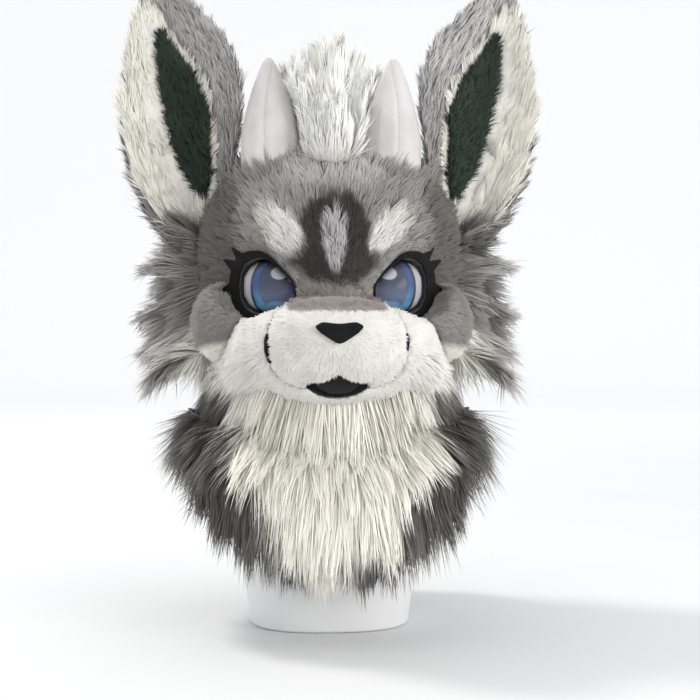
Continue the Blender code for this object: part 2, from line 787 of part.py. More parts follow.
def eye_column(name, outline, material, group=cutters):
    """An outline of the eye drawn along its axis through the head's wall."""
    return prism(name, outline, eye_frame, -EYE_THROUGH, EYE_THROUGH, material, group)


socket_cutter = eye_column("socket_cutter_left", eye_outline(EYE_ANGLES, eye_reach, 0.0),
                           STAND_WHITE)
socket_cutter_right = mirrored(socket_cutter, "socket_cutter_right", cutters)
shape_with(head_shell, "DIFFERENCE", (socket_cutter, socket_cutter_right))
eye_dome_left = eye_cap("eye_dome_left", SEAM_GAP, EYE_DOME_BULGE, EYE_DOME_THICKNESS,
                        CLEAR_DOME)
eye_print_left = eye_cap("eye_print_left", SEAM_GAP * 2 + EYE_DOME_THICKNESS, EYE_PRINT_BULGE,
                         EYE_PRINT_THICKNESS, EYE_PRINT)

eye_frame_left = eye_column("eye_frame_left", eye_outline(FRAME_ANGLES, frame_reach, 0.0),
                            BLACK_PLUSH, parts)
frame_skin = head_solid("frame_skin", SEAM_GAP + EYE_FRAME_THICKNESS)
shape_with(eye_frame_left, "INTERSECT", (frame_skin,))
shape_with(eye_frame_left, "DIFFERENCE", (head_seat, socket_cutter))

frame_room = eye_column("frame_room", eye_outline(FRAME_ANGLES, frame_reach, SEAM_GAP),
                        STAND_WHITE)
frame_rooms = (frame_room, mirrored(frame_room, "frame_room_right", cutters))
shape_with(muzzle, "DIFFERENCE", frame_rooms)
shape_with(jaw, "DIFFERENCE", frame_rooms)
shape_with(cheek_left, "DIFFERENCE", (head_seat, jaw_seat, muzzle_seat, frame_room))


# Ears: a cupped leaf in three layers

ear_root = head_point(EAR_PLACE, row_of(HEAD_SECTIONS, EAR_LEVEL), -EAR_SINK)
ear_spine = Vector((EAR_SPREAD, -EAR_RAKE, EAR_HEIGHT))
ear_side = Vector((math.cos(EAR_TURN), math.sin(EAR_TURN), 0))
ear_side = (ear_side - ear_side.project(ear_spine)).normalized()
ear_ahead = ear_side.cross(ear_spine).normalized()


def ear_point(level, across, out):
    """A point of the ear's cupped sheet. across runs from -1 at the middle of the head to 1."""
    section = read_table(EAR_SECTIONS, row_of(EAR_SECTIONS, level))
    side = (section.width * across / 2 + section.lean) * EAR_WIDTH
    ahead = section.cup * EAR_CUP * across ** 2 + out
    return ear_root + ear_spine * level + ear_side * side + ear_ahead * ahead


def ear_slab(name, spans, back, front, material, group=parts, rows=9, columns=6):
    """A cupped slab of the ear between two distances ahead of its back."""
    points = []
    for out in (back, front):
        for row in range(rows):
            span = read_table(spans, (len(spans) - 1) * row / (rows - 1))
            points += [ear_point(span.level, span.inner + (span.outer - span.inner) * column
                                 / (columns - 1), out) for column in range(columns)]
    sheet = [(here, here + 1, here + columns + 1, here + columns)
             for row in range(rows - 1) for here in range(row * columns, (row + 1) * columns - 1)]
    size = rows * columns
    faces = sheet + [tuple(index + size for index in reversed(face)) for face in sheet]
    rim = [*range(columns), *range(2 * columns - 1, size, columns)]
    rim += [*range(size - 2, size - columns - 1, -1), *range(size - 2 * columns, 0, -columns)]
    for here, there in zip(rim, rim[1:] + rim[:1]):
        faces.append((there, here, here + size, there + size))
    return mesh_object(name, points, faces, material, group)


EAR_SHELL = tuple(Span(leaf.level, -1.0, 1.0) for leaf in EAR_SECTIONS)
EAR_ROOM = tuple(Span(leaf.level * 1.02 - 0.02, -1.05, 1.05) for leaf in EAR_SECTIONS)
EAR_GAP = SEAM_GAP * 1.6            # measured straight ahead, so that it holds on the slopes
lining_front = EAR_WALL + EAR_GAP + EAR_LINING_THICKNESS
core_front = lining_front + EAR_GAP + EAR_CORE_THICKNESS
ear_shell_left = ear_slab("ear_shell_left", EAR_SHELL, 0.0, EAR_WALL, GREY_FUR)
ear_lining_left = ear_slab("ear_lining_left", EAR_LINING, EAR_WALL - EAR_LINING_THICKNESS,
                           lining_front, WHITE_FUR, rows=7, columns=5)
ear_core_left = ear_slab("ear_core_left", EAR_CORE, lining_front - EAR_CORE_THICKNESS,
                         core_front, GREEN_FUR, rows=6, columns=4)
shell_seat = ear_slab("shell_seat", EAR_SHELL, -EAR_CUP, EAR_WALL + EAR_GAP, STAND_WHITE,
                      cutters)
lining_seat = ear_slab("lining_seat", EAR_LINING, -EAR_CUP, lining_front + EAR_GAP, STAND_WHITE,
                       cutters, rows=7, columns=5)
ear_room = ear_slab("ear_room", EAR_ROOM, -EAR_GAP * 3, core_front + EAR_GAP, STAND_WHITE,
                    cutters)
shape_with(ear_shell_left, "DIFFERENCE", (head_seat,))
shape_with(ear_lining_left, "DIFFERENCE", (shell_seat, head_seat))
shape_with(ear_core_left, "DIFFERENCE", (lining_seat, head_seat))


# Horns: stuffed cones, a little pointed at the two side seams

def horn_body(name, out, group):
    foot = Vector((HORN_SPACING / 2, -HORN_AHEAD, CROWN_Z - HORN_SINK))
    rings = []
    for row in range(HORN_ROWS):
        section = read_table(HORN_SECTIONS, (len(HORN_SECTIONS) - 1) * row / HORN_ROWS)
        middle = foot + Vector((section.lean * HORN_SPREAD, 0, section.level * HORN_HEIGHT))
        ring = []
        for turn in round_turns(HORN_SIDES):
            seam = 1 + 0.05 * abs(math.cos(turn)) ** 6
            across = math.cos(turn) * seam * (section.width * HORN_WIDTH / 2 + out)
            ahead = math.sin(turn) * (section.depth * HORN_DEPTH / 2 + out)
            ring.append(middle + Vector((across, ahead, 0)))
        rings.append(ring)
    tip = foot + Vector((HORN_SPREAD, 0, HORN_HEIGHT + out))
    return loft(name, rings, HORN_SUEDE, group, tip=tip)


horn_left = shape_with(horn_body("horn_left", 0.0, parts), "DIFFERENCE", (head_seat,))
horn_room = horn_body("horn_room", SEAM_GAP, cutters)
horn_rooms = (horn_room, mirrored(horn_room, "horn_room_right", cutters))
for layer in (ear_shell_left, ear_lining_left, ear_core_left):
    shape_with(layer, "DIFFERENCE", (horn_room,))


# Long fur: tapered locks fused to a backing

def lock(name, root, tip, width, thickness, sag):
    """A tapered lock of fur from its root to its tip, bowed by sag at the middle."""
    way = tip - root
    side = way.cross(sag).normalized()
    flat = side.cross(way).normalized()
    rings = []
    for share, taper in ((0.0, 0.85), (0.35, 1.0), (0.74, 0.56)):
        middle = root + way * share + sag * (4 * share * (1 - share))
        rings.append([middle + side * (math.cos(turn) * width / 2 * taper)
                      + flat * (math.sin(turn) * thickness / 2 * taper)
                      for turn in round_turns(LOCK_SIDES)])
    return loft(name, rings, GREY_FUR, tip=tip)


cheek_pieces = [cushion("cheek_pad", head_point(math.radians(96), row_of(HEAD_SECTIONS, 0.40)),
                        (CHEEK_FUR_PAD / 2, CHEEK_FUR_DEPTH / 2, CHEEK_FUR_HEIGHT / 2), 2.0,
                        GREY_FUR, around=12, up=7)]
for number, row in enumerate(CHEEK_LOCKS):
    root = head_point(math.radians(row.turn), row_of(HEAD_SECTIONS, row.level))
    tip = Vector((HEAD_WIDTH / 2 + row.length * CHEEK_FUR_LENGTH,
                  root.y + row.back * CHEEK_FUR_LENGTH, root.z + row.rise * CHEEK_FUR_LENGTH))
    width = row.width * CHEEK_FUR_LENGTH
    cheek_pieces.append(lock(f"cheek_lock_{number}", root, tip, width, width * 0.55,
                             Vector((0, 0, CHEEK_FUR_LENGTH * 0.1))))
cheek_fur_left = fused("cheek_fur_left", cheek_pieces, GREY_FUR)
shape_with(cheek_fur_left, "DIFFERENCE", (head_seat, cheek_seat, jaw_seat, ear_room))

tuft_pieces = [cushion("tuft_pad", Vector((0, -TUFT_AHEAD, CROWN_Z - TUFT_SINK)),
                       (TUFT_WIDTH * 0.52, TUFT_WIDTH * 0.90, TUFT_WIDTH * 0.38), 2.0,
                       WHITE_FUR, around=14, up=8)]
for number, spike in enumerate(TUFT_LOCKS):
    root = Vector((spike.x * TUFT_WIDTH, spike.y * TUFT_WIDTH - TUFT_AHEAD,
                   CROWN_Z - TUFT_SINK * (1.5 - spike.y)))
    tip = Vector((spike.tip_x * TUFT_WIDTH, spike.tip_y * TUFT_WIDTH - TUFT_AHEAD,
                  CROWN_Z + spike.height * TUFT_HEIGHT))
    width = spike.width * TUFT_WIDTH
    tuft_pieces.append(lock(f"tuft_lock_{number}", root, tip, width, width * 0.7,
                            Vector((0, -TUFT_WIDTH * 0.07, 0))))
hair_tuft = fused("hair_tuft", tuft_pieces, WHITE_FUR)
shape_with(hair_tuft, "DIFFERENCE", (head_seat, *horn_rooms))


# Neck skirt: a tube of cloth from the head's rim downwards

skirt_top_z = NECK_RIM_Z - SEAM_GAP
hem_z = skirt_top_z - SKIRT_LENGTH


def skirt_point(turn, level, out):
    section = read_table(SKIRT_SECTIONS, row_of(SKIRT_SECTIONS, level))
    return Vector((*head_oval(turn, section, out), skirt_top_z - level * SKIRT_LENGTH))


def skirt_rings(out):
    return [[skirt_point(turn, row / (SKIRT_ROWS - 1), out)
             for turn in round_turns(HEAD_COLUMNS)] for row in range(SKIRT_ROWS)]


mesh_object("neck_skirt", *tube(skirt_rings(0.0) + skirt_rings(-SKIRT_WALL)[::-1], closed=True),
            GREY_FUR)
seat_rings = skirt_rings(SEAM_GAP * 2)
seat_rings.insert(0, [p + Vector((0, 0, SKIRT_WALL)) for p in seat_rings[0]])
seat_rings.append([p - Vector((0, 0, SKIRT_WALL / 2)) for p in seat_rings[-1]])
skirt_seat = loft("skirt_seat", seat_rings, STAND_WHITE, cutters)


# Stand: a tapered plinth, and a plain post that carries the crown from inside

hem = SKIRT_SECTIONS[-1]
hem_half_width = hem.width * HEAD_WIDTH / 2 - SKIRT_WALL - STAND_SIDE_ROOM
hem_half_depth = hem.front * FACE_REACH - SKIRT_WALL - STAND_FRONT_ROOM


def stand_ring(z, out):
    """A section of the plinth, which just passes through the skirt's hem."""
    grow = STAND_FLARE * (z - hem_z) + out
    return [Vector((*oval(turn, hem_half_width + grow, hem_half_depth + grow,
                          hem_half_depth + grow, STAND_POWER), z))
            for turn in round_turns(STAND_SIDES)]


loft("stand_plinth",
     [stand_ring(0.0, -STAND_EDGE / 2), stand_ring(STAND_EDGE / 2, 0.0),
      stand_ring(STAND_HEIGHT - STAND_EDGE, 0.0), stand_ring(STAND_HEIGHT, -STAND_EDGE)],
     STAND_WHITE)
stand_seat = loft("stand_seat", [stand_ring(0.0, REST_GAP), stand_ring(STAND_HEIGHT, REST_GAP)],
                  STAND_WHITE, cutters)

cap_bottom = CROWN_Z - HEAD_WALL - POST_CAP_HEIGHT
post_cap = head_solid("post_cap", -(HEAD_WALL + REST_GAP), parts)
cap_column = upright_bar("cap_column", POST_CAP_RADIUS, cap_bottom, CROWN_Z, STAND_WHITE,
                         cutters)
shape_with(post_cap, "INTERSECT", (cap_column,))
post_bar = upright_bar("post_bar", POST_RADIUS, STAND_HEIGHT + SEAM_GAP,
                       cap_bottom + POST_CAP_HEIGHT / 4, STAND_WHITE)
fused("stand_post", [post_cap, post_bar], STAND_WHITE)


# Ruff: rows of overlapping locks round the skirt, parted where the fur changes colour

def ruff_point(turn, level, out):
    section = read_table(RUFF_SECTIONS, row_of(RUFF_SECTIONS, level))
    return Vector((*head_oval(turn, section, out), skirt_top_z - level * RUFF_LENGTH))


def lock_profile(turn, column):
    """The ruff's section at one turn: three points for each row of locks, then its backing."""
    profile = []
    row_height = 1 / RUFF_LOCK_ROWS
    for row in range(RUFF_LOCK_ROWS):
        ridge = (column + row) % 2
        top = row * row_height
        droop = row_height * (0.42 if ridge else 0.05)
        if row == RUFF_LOCK_ROWS - 1:
            droop -= row_height * 0.42
        tuck = 0.2 if row == 0 else 1.5
        profile.append(ruff_point(turn, top + 0.01, -RUFF_LIFT * tuck))
        profile.append(ruff_point(turn, top + row_height * 0.62, RUFF_LIFT * 0.1 * ridge))
        profile.append(ruff_point(turn, top + row_height + droop,
                                  0.0 if ridge else -RUFF_LIFT * 0.55))
    return profile + [skirt_point(turn, level, -SKIRT_WALL) for level in (0.94, 0.62, 0.30, 0.004)]


profiles = [lock_profile(turn, column) for column, turn in enumerate(round_turns(RUFF_COLUMNS))]
whole_ruff = mesh_object("whole_ruff", *tube(profiles, closed=True), DARK_FUR, cutters)
shape_with(whole_ruff, "DIFFERENCE", (skirt_seat, stand_seat))


def beyond(name, outward):
    """A large block whose one face lies in a plane through the middle of the ruff's top."""
    reach = (HEAD_WIDTH + BACK_REACH) * 2
    turn = outward.to_track_quat("Z", "Y").to_matrix().to_4x4()
    place = Matrix.Translation((0, 0, skirt_top_z)) @ turn
    place @= Matrix.Translation((0, 0, (reach - SEAM_GAP) / 2))
    work = bmesh.new()
    bmesh.ops.create_cube(work, size=reach, matrix=place)
    return object_from(work, name, STAND_WHITE, cutters)


def parting(turn, slope):
    """The direction towards the back of a plane that parts the ruff at a turn."""
    return Vector((math.cos(turn), math.sin(turn), slope)).normalized()


def ruff_part(name, sides, material):
    """What is left of the ruff after cutting away everything beyond each plane."""
    made = add_object(name, whole_ruff.data.copy(), parts)
    made.data.materials.clear()
    made.data.materials.append(material)
    blocks = [beyond(f"{name}_cut_{number}", side) for number, side in enumerate(sides)]
    return shape_with(made, "DIFFERENCE", blocks)


bib_side, back_side = parting(BIB_TURN, -BIB_SLOPE), parting(BACK_TURN, 0.0)
to_right = Matrix.Scale(-1, 3, Vector((1, 0, 0)))
ruff_part("bib_fur", (bib_side, to_right @ bib_side), WHITE_FUR)
ruff_fur_left = ruff_part("ruff_fur_left", (-bib_side, back_side), DARK_FUR)
ruff_part("ruff_fur_back", (-back_side, -(to_right @ back_side)), DARK_FUR)


# The wearer's right side

for left in (cheek_left, eye_dome_left, eye_print_left, eye_frame_left, ear_shell_left,
             ear_lining_left, ear_core_left, horn_left, cheek_fur_left, ruff_fur_left):
    mirrored(left, left.name.replace("_left", "_right"))
for cutter in list(cutters.objects):
    bpy.data.objects.remove(cutter)
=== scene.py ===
# Kemono fursuit head on its plain white stand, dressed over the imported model.
# Metres, +Z up; the face looks along -Y, and +X is the wearer's left.
import math

import bmesh
import bpy
import numpy as np
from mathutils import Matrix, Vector, noise
from mathutils.bvhtree import BVHTree


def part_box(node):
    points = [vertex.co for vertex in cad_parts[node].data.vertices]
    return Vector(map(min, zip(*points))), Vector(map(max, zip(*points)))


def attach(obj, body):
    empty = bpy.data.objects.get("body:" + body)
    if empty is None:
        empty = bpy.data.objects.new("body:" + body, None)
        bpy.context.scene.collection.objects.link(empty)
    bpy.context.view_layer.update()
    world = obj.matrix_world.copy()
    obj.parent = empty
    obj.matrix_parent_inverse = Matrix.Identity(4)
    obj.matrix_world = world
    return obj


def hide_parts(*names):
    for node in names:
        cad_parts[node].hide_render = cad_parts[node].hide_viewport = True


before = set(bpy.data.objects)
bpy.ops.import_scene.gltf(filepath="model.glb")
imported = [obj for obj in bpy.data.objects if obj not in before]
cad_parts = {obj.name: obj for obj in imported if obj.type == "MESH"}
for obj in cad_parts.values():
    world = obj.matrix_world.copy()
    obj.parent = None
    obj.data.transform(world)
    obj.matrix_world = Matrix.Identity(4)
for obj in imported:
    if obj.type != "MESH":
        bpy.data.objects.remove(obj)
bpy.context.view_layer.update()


# Camera. The photograph looks at the face from 3.5 degrees to the wearer's right, level
# with the lower face, from about 1.5 m away.
def placed(name, data):
    """A new object in the scene."""
    made = bpy.data.objects.new(name, data)
    bpy.context.collection.objects.link(made)
    return made


VIEW_TURN = math.radians(-3.5)
VIEW_DISTANCE = 1.5
toward_camera = Vector((math.sin(VIEW_TURN), -math.cos(VIEW_TURN), 0))
view_right = Vector((math.cos(VIEW_TURN), math.sin(VIEW_TURN), 0))
aim = Vector((0, 0, 0.318)) + view_right * 0.022
camera_data = bpy.data.cameras.new("camera")
camera_data.lens = 73.5
camera_data.sensor_width = 36
camera_data.shift_y = -34 / 700
camera = placed("camera", camera_data)
camera.location = aim + toward_camera * VIEW_DISTANCE
camera.rotation_euler = toward_camera.to_track_quat("Z", "Y").to_euler()
bpy.context.scene.camera = camera


# Stand. A blow-moulded white plinth with a post and a round cap that the head rests on; the
# skin is smooth and slightly satin, with the faint ripple that moulded plastic has.
class Wire:
    """A socket of a node tree. Arithmetic on it adds Math nodes, or Vector Math on vectors."""

    def __init__(self, tree, socket=None):
        self.tree = tree
        self.socket = socket

    def node(self, kind, settings=None, values=None, out=0):
        """Add a node with its settings, its inputs set to values or linked to sockets."""
        made = self.tree.nodes.new(kind)
        for name, value in (settings or {}).items():
            setattr(made, name, value)
        for key, value in (values or {}).items():
            if isinstance(value, Wire):
                self.tree.links.new(value.socket, made.inputs[key])
            else:
                made.inputs[key].default_value = value
        return Wire(self.tree, made.outputs[out] if made.outputs else None)

    def twin(self, name):
        """Another output of the same node."""
        return Wire(self.tree, self.socket.node.outputs[name])

    def is_vector(self):
        return self.socket.type in {"VECTOR", "RGBA"}

    def maths(self, operation, *others, swapped=False):
        values = [self, *others]
        kind = "ShaderNodeMath"
        if any(v.is_vector() if isinstance(v, Wire) else isinstance(v, tuple) for v in values):
            kind = "ShaderNodeVectorMath"
            values = [(v,) * 3 if isinstance(v, (int, float)) else v for v in values]
        if swapped:
            values.reverse()
        return self.node(kind, {"operation": operation}, dict(enumerate(values)))

    def __add__(self, other):
        return self.maths("ADD", other)

    def __sub__(self, other):
        return self.maths("SUBTRACT", other)

    def __rsub__(self, other):
        return self.maths("SUBTRACT", other, swapped=True)

    def __mul__(self, other):
        return self.maths("MULTIPLY", other)

    def __truediv__(self, other):
        return self.maths("DIVIDE", other)

    def __rtruediv__(self, other):
        return self.maths("DIVIDE", other, swapped=True)

    __radd__ = __add__
    __rmul__ = __mul__

    def part(self, axis):
        return self.node("ShaderNodeSeparateXYZ", None, {0: self}, axis)

    def between(self, low, high, start=0.0, end=1.0):
        """Where the value stands between low and high, eased, from start to end."""
        values = {"Value": self, "From Min": low, "From Max": high, "To Min": start, "To Max": end}
        return self.node("ShaderNodeMapRange", {"interpolation_type": "SMOOTHSTEP"}, values)

    def blend(self, first, second, share):
        """A colour between two others, which are colours or sockets."""
        return self.node("ShaderNodeMix", {"data_type": "RGBA"}, {0: share, 6: first, 7: second}, 2)

    def to(self, other, share):
        """This colour turned into the other one by a share."""
        return self.blend(self, other, share)


def finish_of(name, build, **constants):
    """A material: constants go to the shader's own sockets, and build gives what varies,
    starting from the place on the object."""
    made = bpy.data.materials.new(name)
    made.use_nodes = True
    shader = made.node_tree.nodes["Principled BSDF"]
    for key, value in constants.items():
        shader.inputs[key.replace("_", " ")].default_value = value
    place = Wire(made.node_tree).node("ShaderNodeTexCoord", None, None, "Object")
    for key, value in build(place).items():
        made.node_tree.links.new(value.socket, shader.inputs[key])
    return made


def rgb(red, green, blue):
    return (red, green, blue, 1.0)


def mottle(place, scale, detail=2.0):
    """Soft noise: its scale in lumps a metre."""
    values = {"Vector": place, "Scale": scale, "Detail": detail}
    return place.node("ShaderNodeTexNoise", None, values)


def bumped(height, distance, strength):
    values = {"Height": height, "Distance": distance, "Strength": strength}
    return height.node("ShaderNodeBump", None, values, "Normal")


def moulded_white(place):
    ripple = mottle(place, 9.0, 3.0)
    grain = mottle(place, 900.0)
    patchy = ripple.between(0.35, 0.8, 0, 0.6)
    return {
        "Base Color": place.blend(rgb(0.79, 0.79, 0.795), rgb(0.75, 0.745, 0.74), patchy),
        "Roughness": grain.between(0.3, 0.7, 0.30, 0.40),
        "Normal": bumped(ripple + grain * 0.02, 0.0012, 0.5),
    }


stand_white = finish_of("stand_white", moulded_white, Specular_IOR_Level=0.45)


def copied(node, name, quads=True):
    """A copy of a CAD node as one mesh with shared vertices."""
    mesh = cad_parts[node].data.copy()
    made = bmesh.new()
    made.from_mesh(mesh)
    bmesh.ops.remove_doubles(made, verts=made.verts, dist=1e-6)
    if quads:
        bmesh.ops.join_triangles(
            made, faces=made.faces, angle_face_threshold=0.35, angle_shape_threshold=0.7
        )
    made.to_mesh(mesh)
    made.free()
    mesh.materials.clear()
    mesh.shade_smooth()
    return placed(name, mesh)


def modified(piece, kind, **settings):
    modifier = piece.modifiers.new(kind.lower(), kind)
    for name, value in settings.items():
        setattr(modifier, name, value)
    return modifier


def apply_all(piece):
    """Turn the piece's modifiers into its plain mesh."""
    graph = bpy.context.evaluated_depsgraph_get()
    mesh = bpy.data.meshes.new_from_object(piece.evaluated_get(graph))
    old = piece.data
    piece.modifiers.clear()
    piece.data = mesh
    bpy.data.meshes.remove(old)
    return piece


def sharpened(piece, degrees):
    """Smooth shading that breaks at edges sharper than the angle."""
    piece.data.set_sharp_from_angle(angle=math.radians(degrees))
    return piece


def joined_to_root(piece, material, slot, *nodes):
    piece.data.materials.clear()
    piece.data.materials.append(material)
    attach(piece, "root")
    if nodes:
        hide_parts(*nodes)


EDGE_ROUNDING = 0.0012
for node in ("stand_plinth", "stand_post"):
    piece = copied(node, node.replace("stand", "moulded"))
    soften = modified(piece, "BEVEL", width=EDGE_ROUNDING, segments=2, limit_method="ANGLE")
    soften.angle_limit = math.radians(35)
    sharpened(apply_all(piece), 40)
    joined_to_root(piece, stand_white, "stand_white", node)


# Foam head and neck cloth. The shell is carved upholstery foam, furred outside and lined
# inside with dark open-weave cloth; the neck skirt is the same cloth without foam.
def read(items, key, size=3, kind=np.float32):
    """What the items hold under a key, in rows of the given size."""
    flat = np.empty(len(items) * size, kind)
    items.foreach_get(key, flat)
    return flat.reshape(-1, size) if size > 1 else flat


def eased(value, low, high):
    share = np.clip((value - low) / (high - low), 0, 1)
    return share * share * (3 - 2 * share)


def blended(first, second, share):
    """Between two values, colours or rows of colours, by a share for each row."""
    share = np.asarray(share)[:, None]
    return np.asarray(first) * (1 - share) + np.asarray(second) * share


def patches(points, scale):
    """Soft patchy noise at each point, about -1 to 1."""
    return np.array([noise.noise(Vector(p * scale)) for p in points])


# A wave texture of scale 1 repeats every 0.314 m.
WAVE_LENGTH = 0.314


def woven(place, pitch):
    """Height of a plain weave with the given pitch in metres."""
    values = {"Vector": place, "Scale": WAVE_LENGTH / pitch, "Distortion": 0.4}
    warp, weft = (
        place.node("ShaderNodeTexWave", {"bands_direction": axis}, values, "Fac") for axis in "XZ"
    )
    return warp * 0.5 + weft * 0.5


def lining_cloth(place):
    weave = woven(place, 0.0012)
    worn = mottle(place, 14.0, 3.0).between(0.35, 0.75)
    return {
        "Base Color": place.blend(rgb(0.030, 0.030, 0.033), rgb(0.055, 0.054, 0.056), worn),
        "Roughness": weave.between(0.2, 0.8, 0.75, 0.9),
        "Normal": bumped(weave, 0.0004, 0.6),
    }


lining = finish_of("lining_cloth", lining_cloth, Sheen_Weight=0.2, Sheen_Roughness=0.5)


def dyed(place):
    """Fur and its backing: dyed as the attribute says, with painted shade on the backing, and a faint
    unevenness.
    """
    dye = place.node("ShaderNodeAttribute", {"attribute_name": "dye"}, None, "Color")
    return {
        "Base Color": dye * mottle(place, 60.0).between(0.3, 0.7, 0.94, 1.04),
        "Roughness": mottle(place, 1400.0, 1.0).between(0.3, 0.7, 0.55, 0.75),
    }


def dyed_and_shaded_backing(place):
    knit = woven(place, 0.0015) * 0.4 + mottle(place, 700.0, 3.0) * 0.6
    return {**dyed(place), "Normal": bumped(knit, 0.0012, 0.8)}


backing = finish_of("dyed_and_shaded_backing", dyed_and_shaded_backing, Sheen_Weight=0.3, Sheen_Roughness=0.5)


def dye_mesh(mesh, colours):
    dye = mesh.color_attributes.new("dye", "FLOAT_COLOR", "POINT")
    dye.data.foreach_set("color", colours.ravel())


def backed(piece, slot, paint, share, *nodes):
    """The knit that fur grows on, dyed like the fur's roots and darker by a share: painted shade for the
    gaps between the strands.
    """
    joined_to_root(piece, backing, slot, *nodes)
    roots, tips = paint(read(piece.data.vertices, "co"))
    colours = np.ones((len(piece.data.vertices), 4), np.float32)
    # A share below one is painted shade, for the backing seen deep between the strands.
    colours[:, :3] = (roots * 0.6 + tips * 0.4) * share
    dye_mesh(piece.data, colours)


GREY = (0.32, 0.305, 0.295)
PALE_GREY = (0.60, 0.58, 0.56)
DARK = (0.022, 0.018, 0.0165)
CREAM = (0.95, 0.925, 0.845)
BEIGE = (0.47, 0.42, 0.36)


def head_dye(points):
    """Root and tip colours over the head: grey, a dark blaze, pale brows, dark sides."""
    x, y, z = points.T
    x = np.abs(x)
    patch = patches(points, 22)
    crown = eased(z, 0.435, 0.465) * (1 - eased(x, 0.030, 0.065))
    tips = blended(GREY, PALE_GREY, 0.95 * crown)
    behind = eased(y, -0.03, 0.06)
    ahead = 1 - behind
    tips = blended(tips, (0.20, 0.19, 0.18), 0.8 * behind)
    # The blaze: broad between the brows, narrowing to a point under the tuft.
    heights = [0.340, 0.352, 0.368, 0.385, 0.405, 0.425, 0.445]
    width = np.interp(z, heights, [0.010, 0.026, 0.046, 0.043, 0.038, 0.028, 0.010])
    blaze = 1 - eased(x + 0.004 * patch, width * 0.82, width * 1.08)
    blaze = blaze * eased(z, 0.340, 0.352) * (1 - eased(z, 0.432, 0.447)) * ahead
    tips = blended(tips, DARK, 0.95 * blaze)
    width = np.interp(z, [0.355, 0.385, 0.410, 0.430], [0.003, 0.012, 0.012, 0.004])
    stripe = 1 - eased(x + 0.003 * patch, width * 0.75, width * 1.25)
    stripe = stripe * eased(z, 0.356, 0.366) * (1 - eased(z, 0.418, 0.432)) * ahead
    tips = blended(tips, (0.58, 0.54, 0.55), 0.9 * stripe)
    # Brow spots over the eyes.
    along = (x - 0.055) * 0.62 + (z - 0.404) * 0.78
    aside = (z - 0.404) * 0.62 - (x - 0.055) * 0.78
    brow = np.hypot(along / 0.030, aside / 0.017)
    spot = (1 - eased(brow + 0.25 * patch, 0.75, 1.2)) * ahead
    tips = blended(tips, (0.77, 0.76, 0.73), 0.95 * spot)
    tips = blended(tips, BEIGE, 0.55 * eased(x, 0.056, 0.072) * spot)
    # The bridge of the nose, the dark sides, and the white below.
    bridge = (1 - eased(z, 0.346, 0.354)) * (1 - eased(x, 0.034, 0.045)) * ahead
    brown = np.outer(1 + 0.35 * patches(points, 130), (0.33, 0.285, 0.265))
    tips = blended(tips, brown, bridge)
    side = eased(x, 0.085, 0.105) * (1 - eased(z, 0.44, 0.47))
    tips = blended(tips, (0.11, 0.10, 0.092), 0.9 * side * (1 - spot))
    low = 1 - eased(z + 0.01 * patch, 0.292, 0.312)
    tips = blended(tips, CREAM, low * ahead)
    turn = np.degrees(np.arctan2(x, -y))
    under = (1 - eased(z, 0.232, 0.250)) * eased(turn + 6 * patch, 50, 58)
    tips = blended(tips, (0.14, 0.13, 0.12), under)
    even = np.maximum(np.maximum(low, spot), bridge)
    return tips * blended(0.5, 0.9, even), tips


# The face is cut finer, so that the dyed backing keeps the blaze's edges.
head_hide = copied("head_shell", "head_hide", quads=False)
made = bmesh.new()
made.from_mesh(head_hide.data)
front = [f for f in made.faces if f.calc_center_median().y < -0.03]
edges = list({edge for face in front for edge in face.edges})
bmesh.ops.subdivide_edges(made, edges=edges, cuts=2, use_grid_fill=True)
made.to_mesh(head_hide.data)
made.free()
sharpened(head_hide, 50)
backed(head_hide, "grey_fur", head_dye, 0.7, "head_shell")
head_hide.data.materials.append(lining)
# Faces that look inwards, seen from the head's middle, are lined.
HEAD_MIDDLE = 0.33
HEAD_SQUAT = 0.8
for face in head_hide.data.polygons:
    middle = face.center
    if face.normal.dot((middle.x, middle.y, (middle.z - HEAD_MIDDLE) * HEAD_SQUAT)) < 0:
        face.material_index = 1
neck_cloth = sharpened(copied("neck_skirt", "neck_cloth", quads=False), 50)
joined_to_root(neck_cloth, lining, "grey_fur", "neck_skirt")


# Muzzle, jaw and cheek pads. Foam balls covered in short-pile plush, sewn on round the
# shell's openings; the plush is brushed from the nose outwards.
def soft_form(name, nodes, voxel, rounds, swell=0.0, filled=0.0, kept=0.4):
    """CAD nodes as one soft closed body: its edges are rounded off as stuffing rounds them,
    and gaps between locks up to twice the filled size are closed."""
    piece = copied(nodes[0], name, quads=False)
    for node in nodes[1:]:
        other = copied(node, node + "_part", quads=False)
        made = bmesh.new()
        made.from_mesh(piece.data)
        made.from_mesh(other.data)
        made.to_mesh(piece.data)
        made.free()
        bpy.data.objects.remove(other)
    for push in (filled, -filled) if filled else (0.0,):
        modified(piece, "REMESH", mode="VOXEL", voxel_size=voxel)
        if push:
            modified(piece, "DISPLACE", mid_level=0.0, strength=push)
    modified(piece, "SMOOTH", factor=0.5, iterations=rounds)
    if swell:
        modified(piece, "DISPLACE", mid_level=0.0, strength=swell)
    modified(piece, "DECIMATE", ratio=kept)
    apply_all(piece).data.shade_smooth()
    return piece


GAP_REACH = 0.04
NOTHING_NEAR = 1.0


def signed_gap(points, nodes):
    """Distance of each point to the nearest of the nodes' surfaces, negative inside one."""
    found = np.full(len(points), NOTHING_NEAR)
    for node in nodes:
        low, high = np.array(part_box(node))
        near = np.all((points > low - GAP_REACH) & (points < high + GAP_REACH), axis=1)
        if not near.any():
            continue
        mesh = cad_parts[node].data
        corners = [v.co for v in mesh.vertices]
        surface = BVHTree.FromPolygons(corners, [p.vertices for p in mesh.polygons])
        for index in np.flatnonzero(near):
            here = Vector(points[index])
            spot, normal, _, gap = surface.find_nearest(here)
            if (here - spot).dot(normal) < -0.5 * gap:
                gap = -gap
            found[index] = min(found[index], gap)
    return found


def unit(vectors, least=1e-9):
    """The vectors at length one."""
    return vectors / np.maximum(np.linalg.norm(vectors, axis=-1, keepdims=True), least)


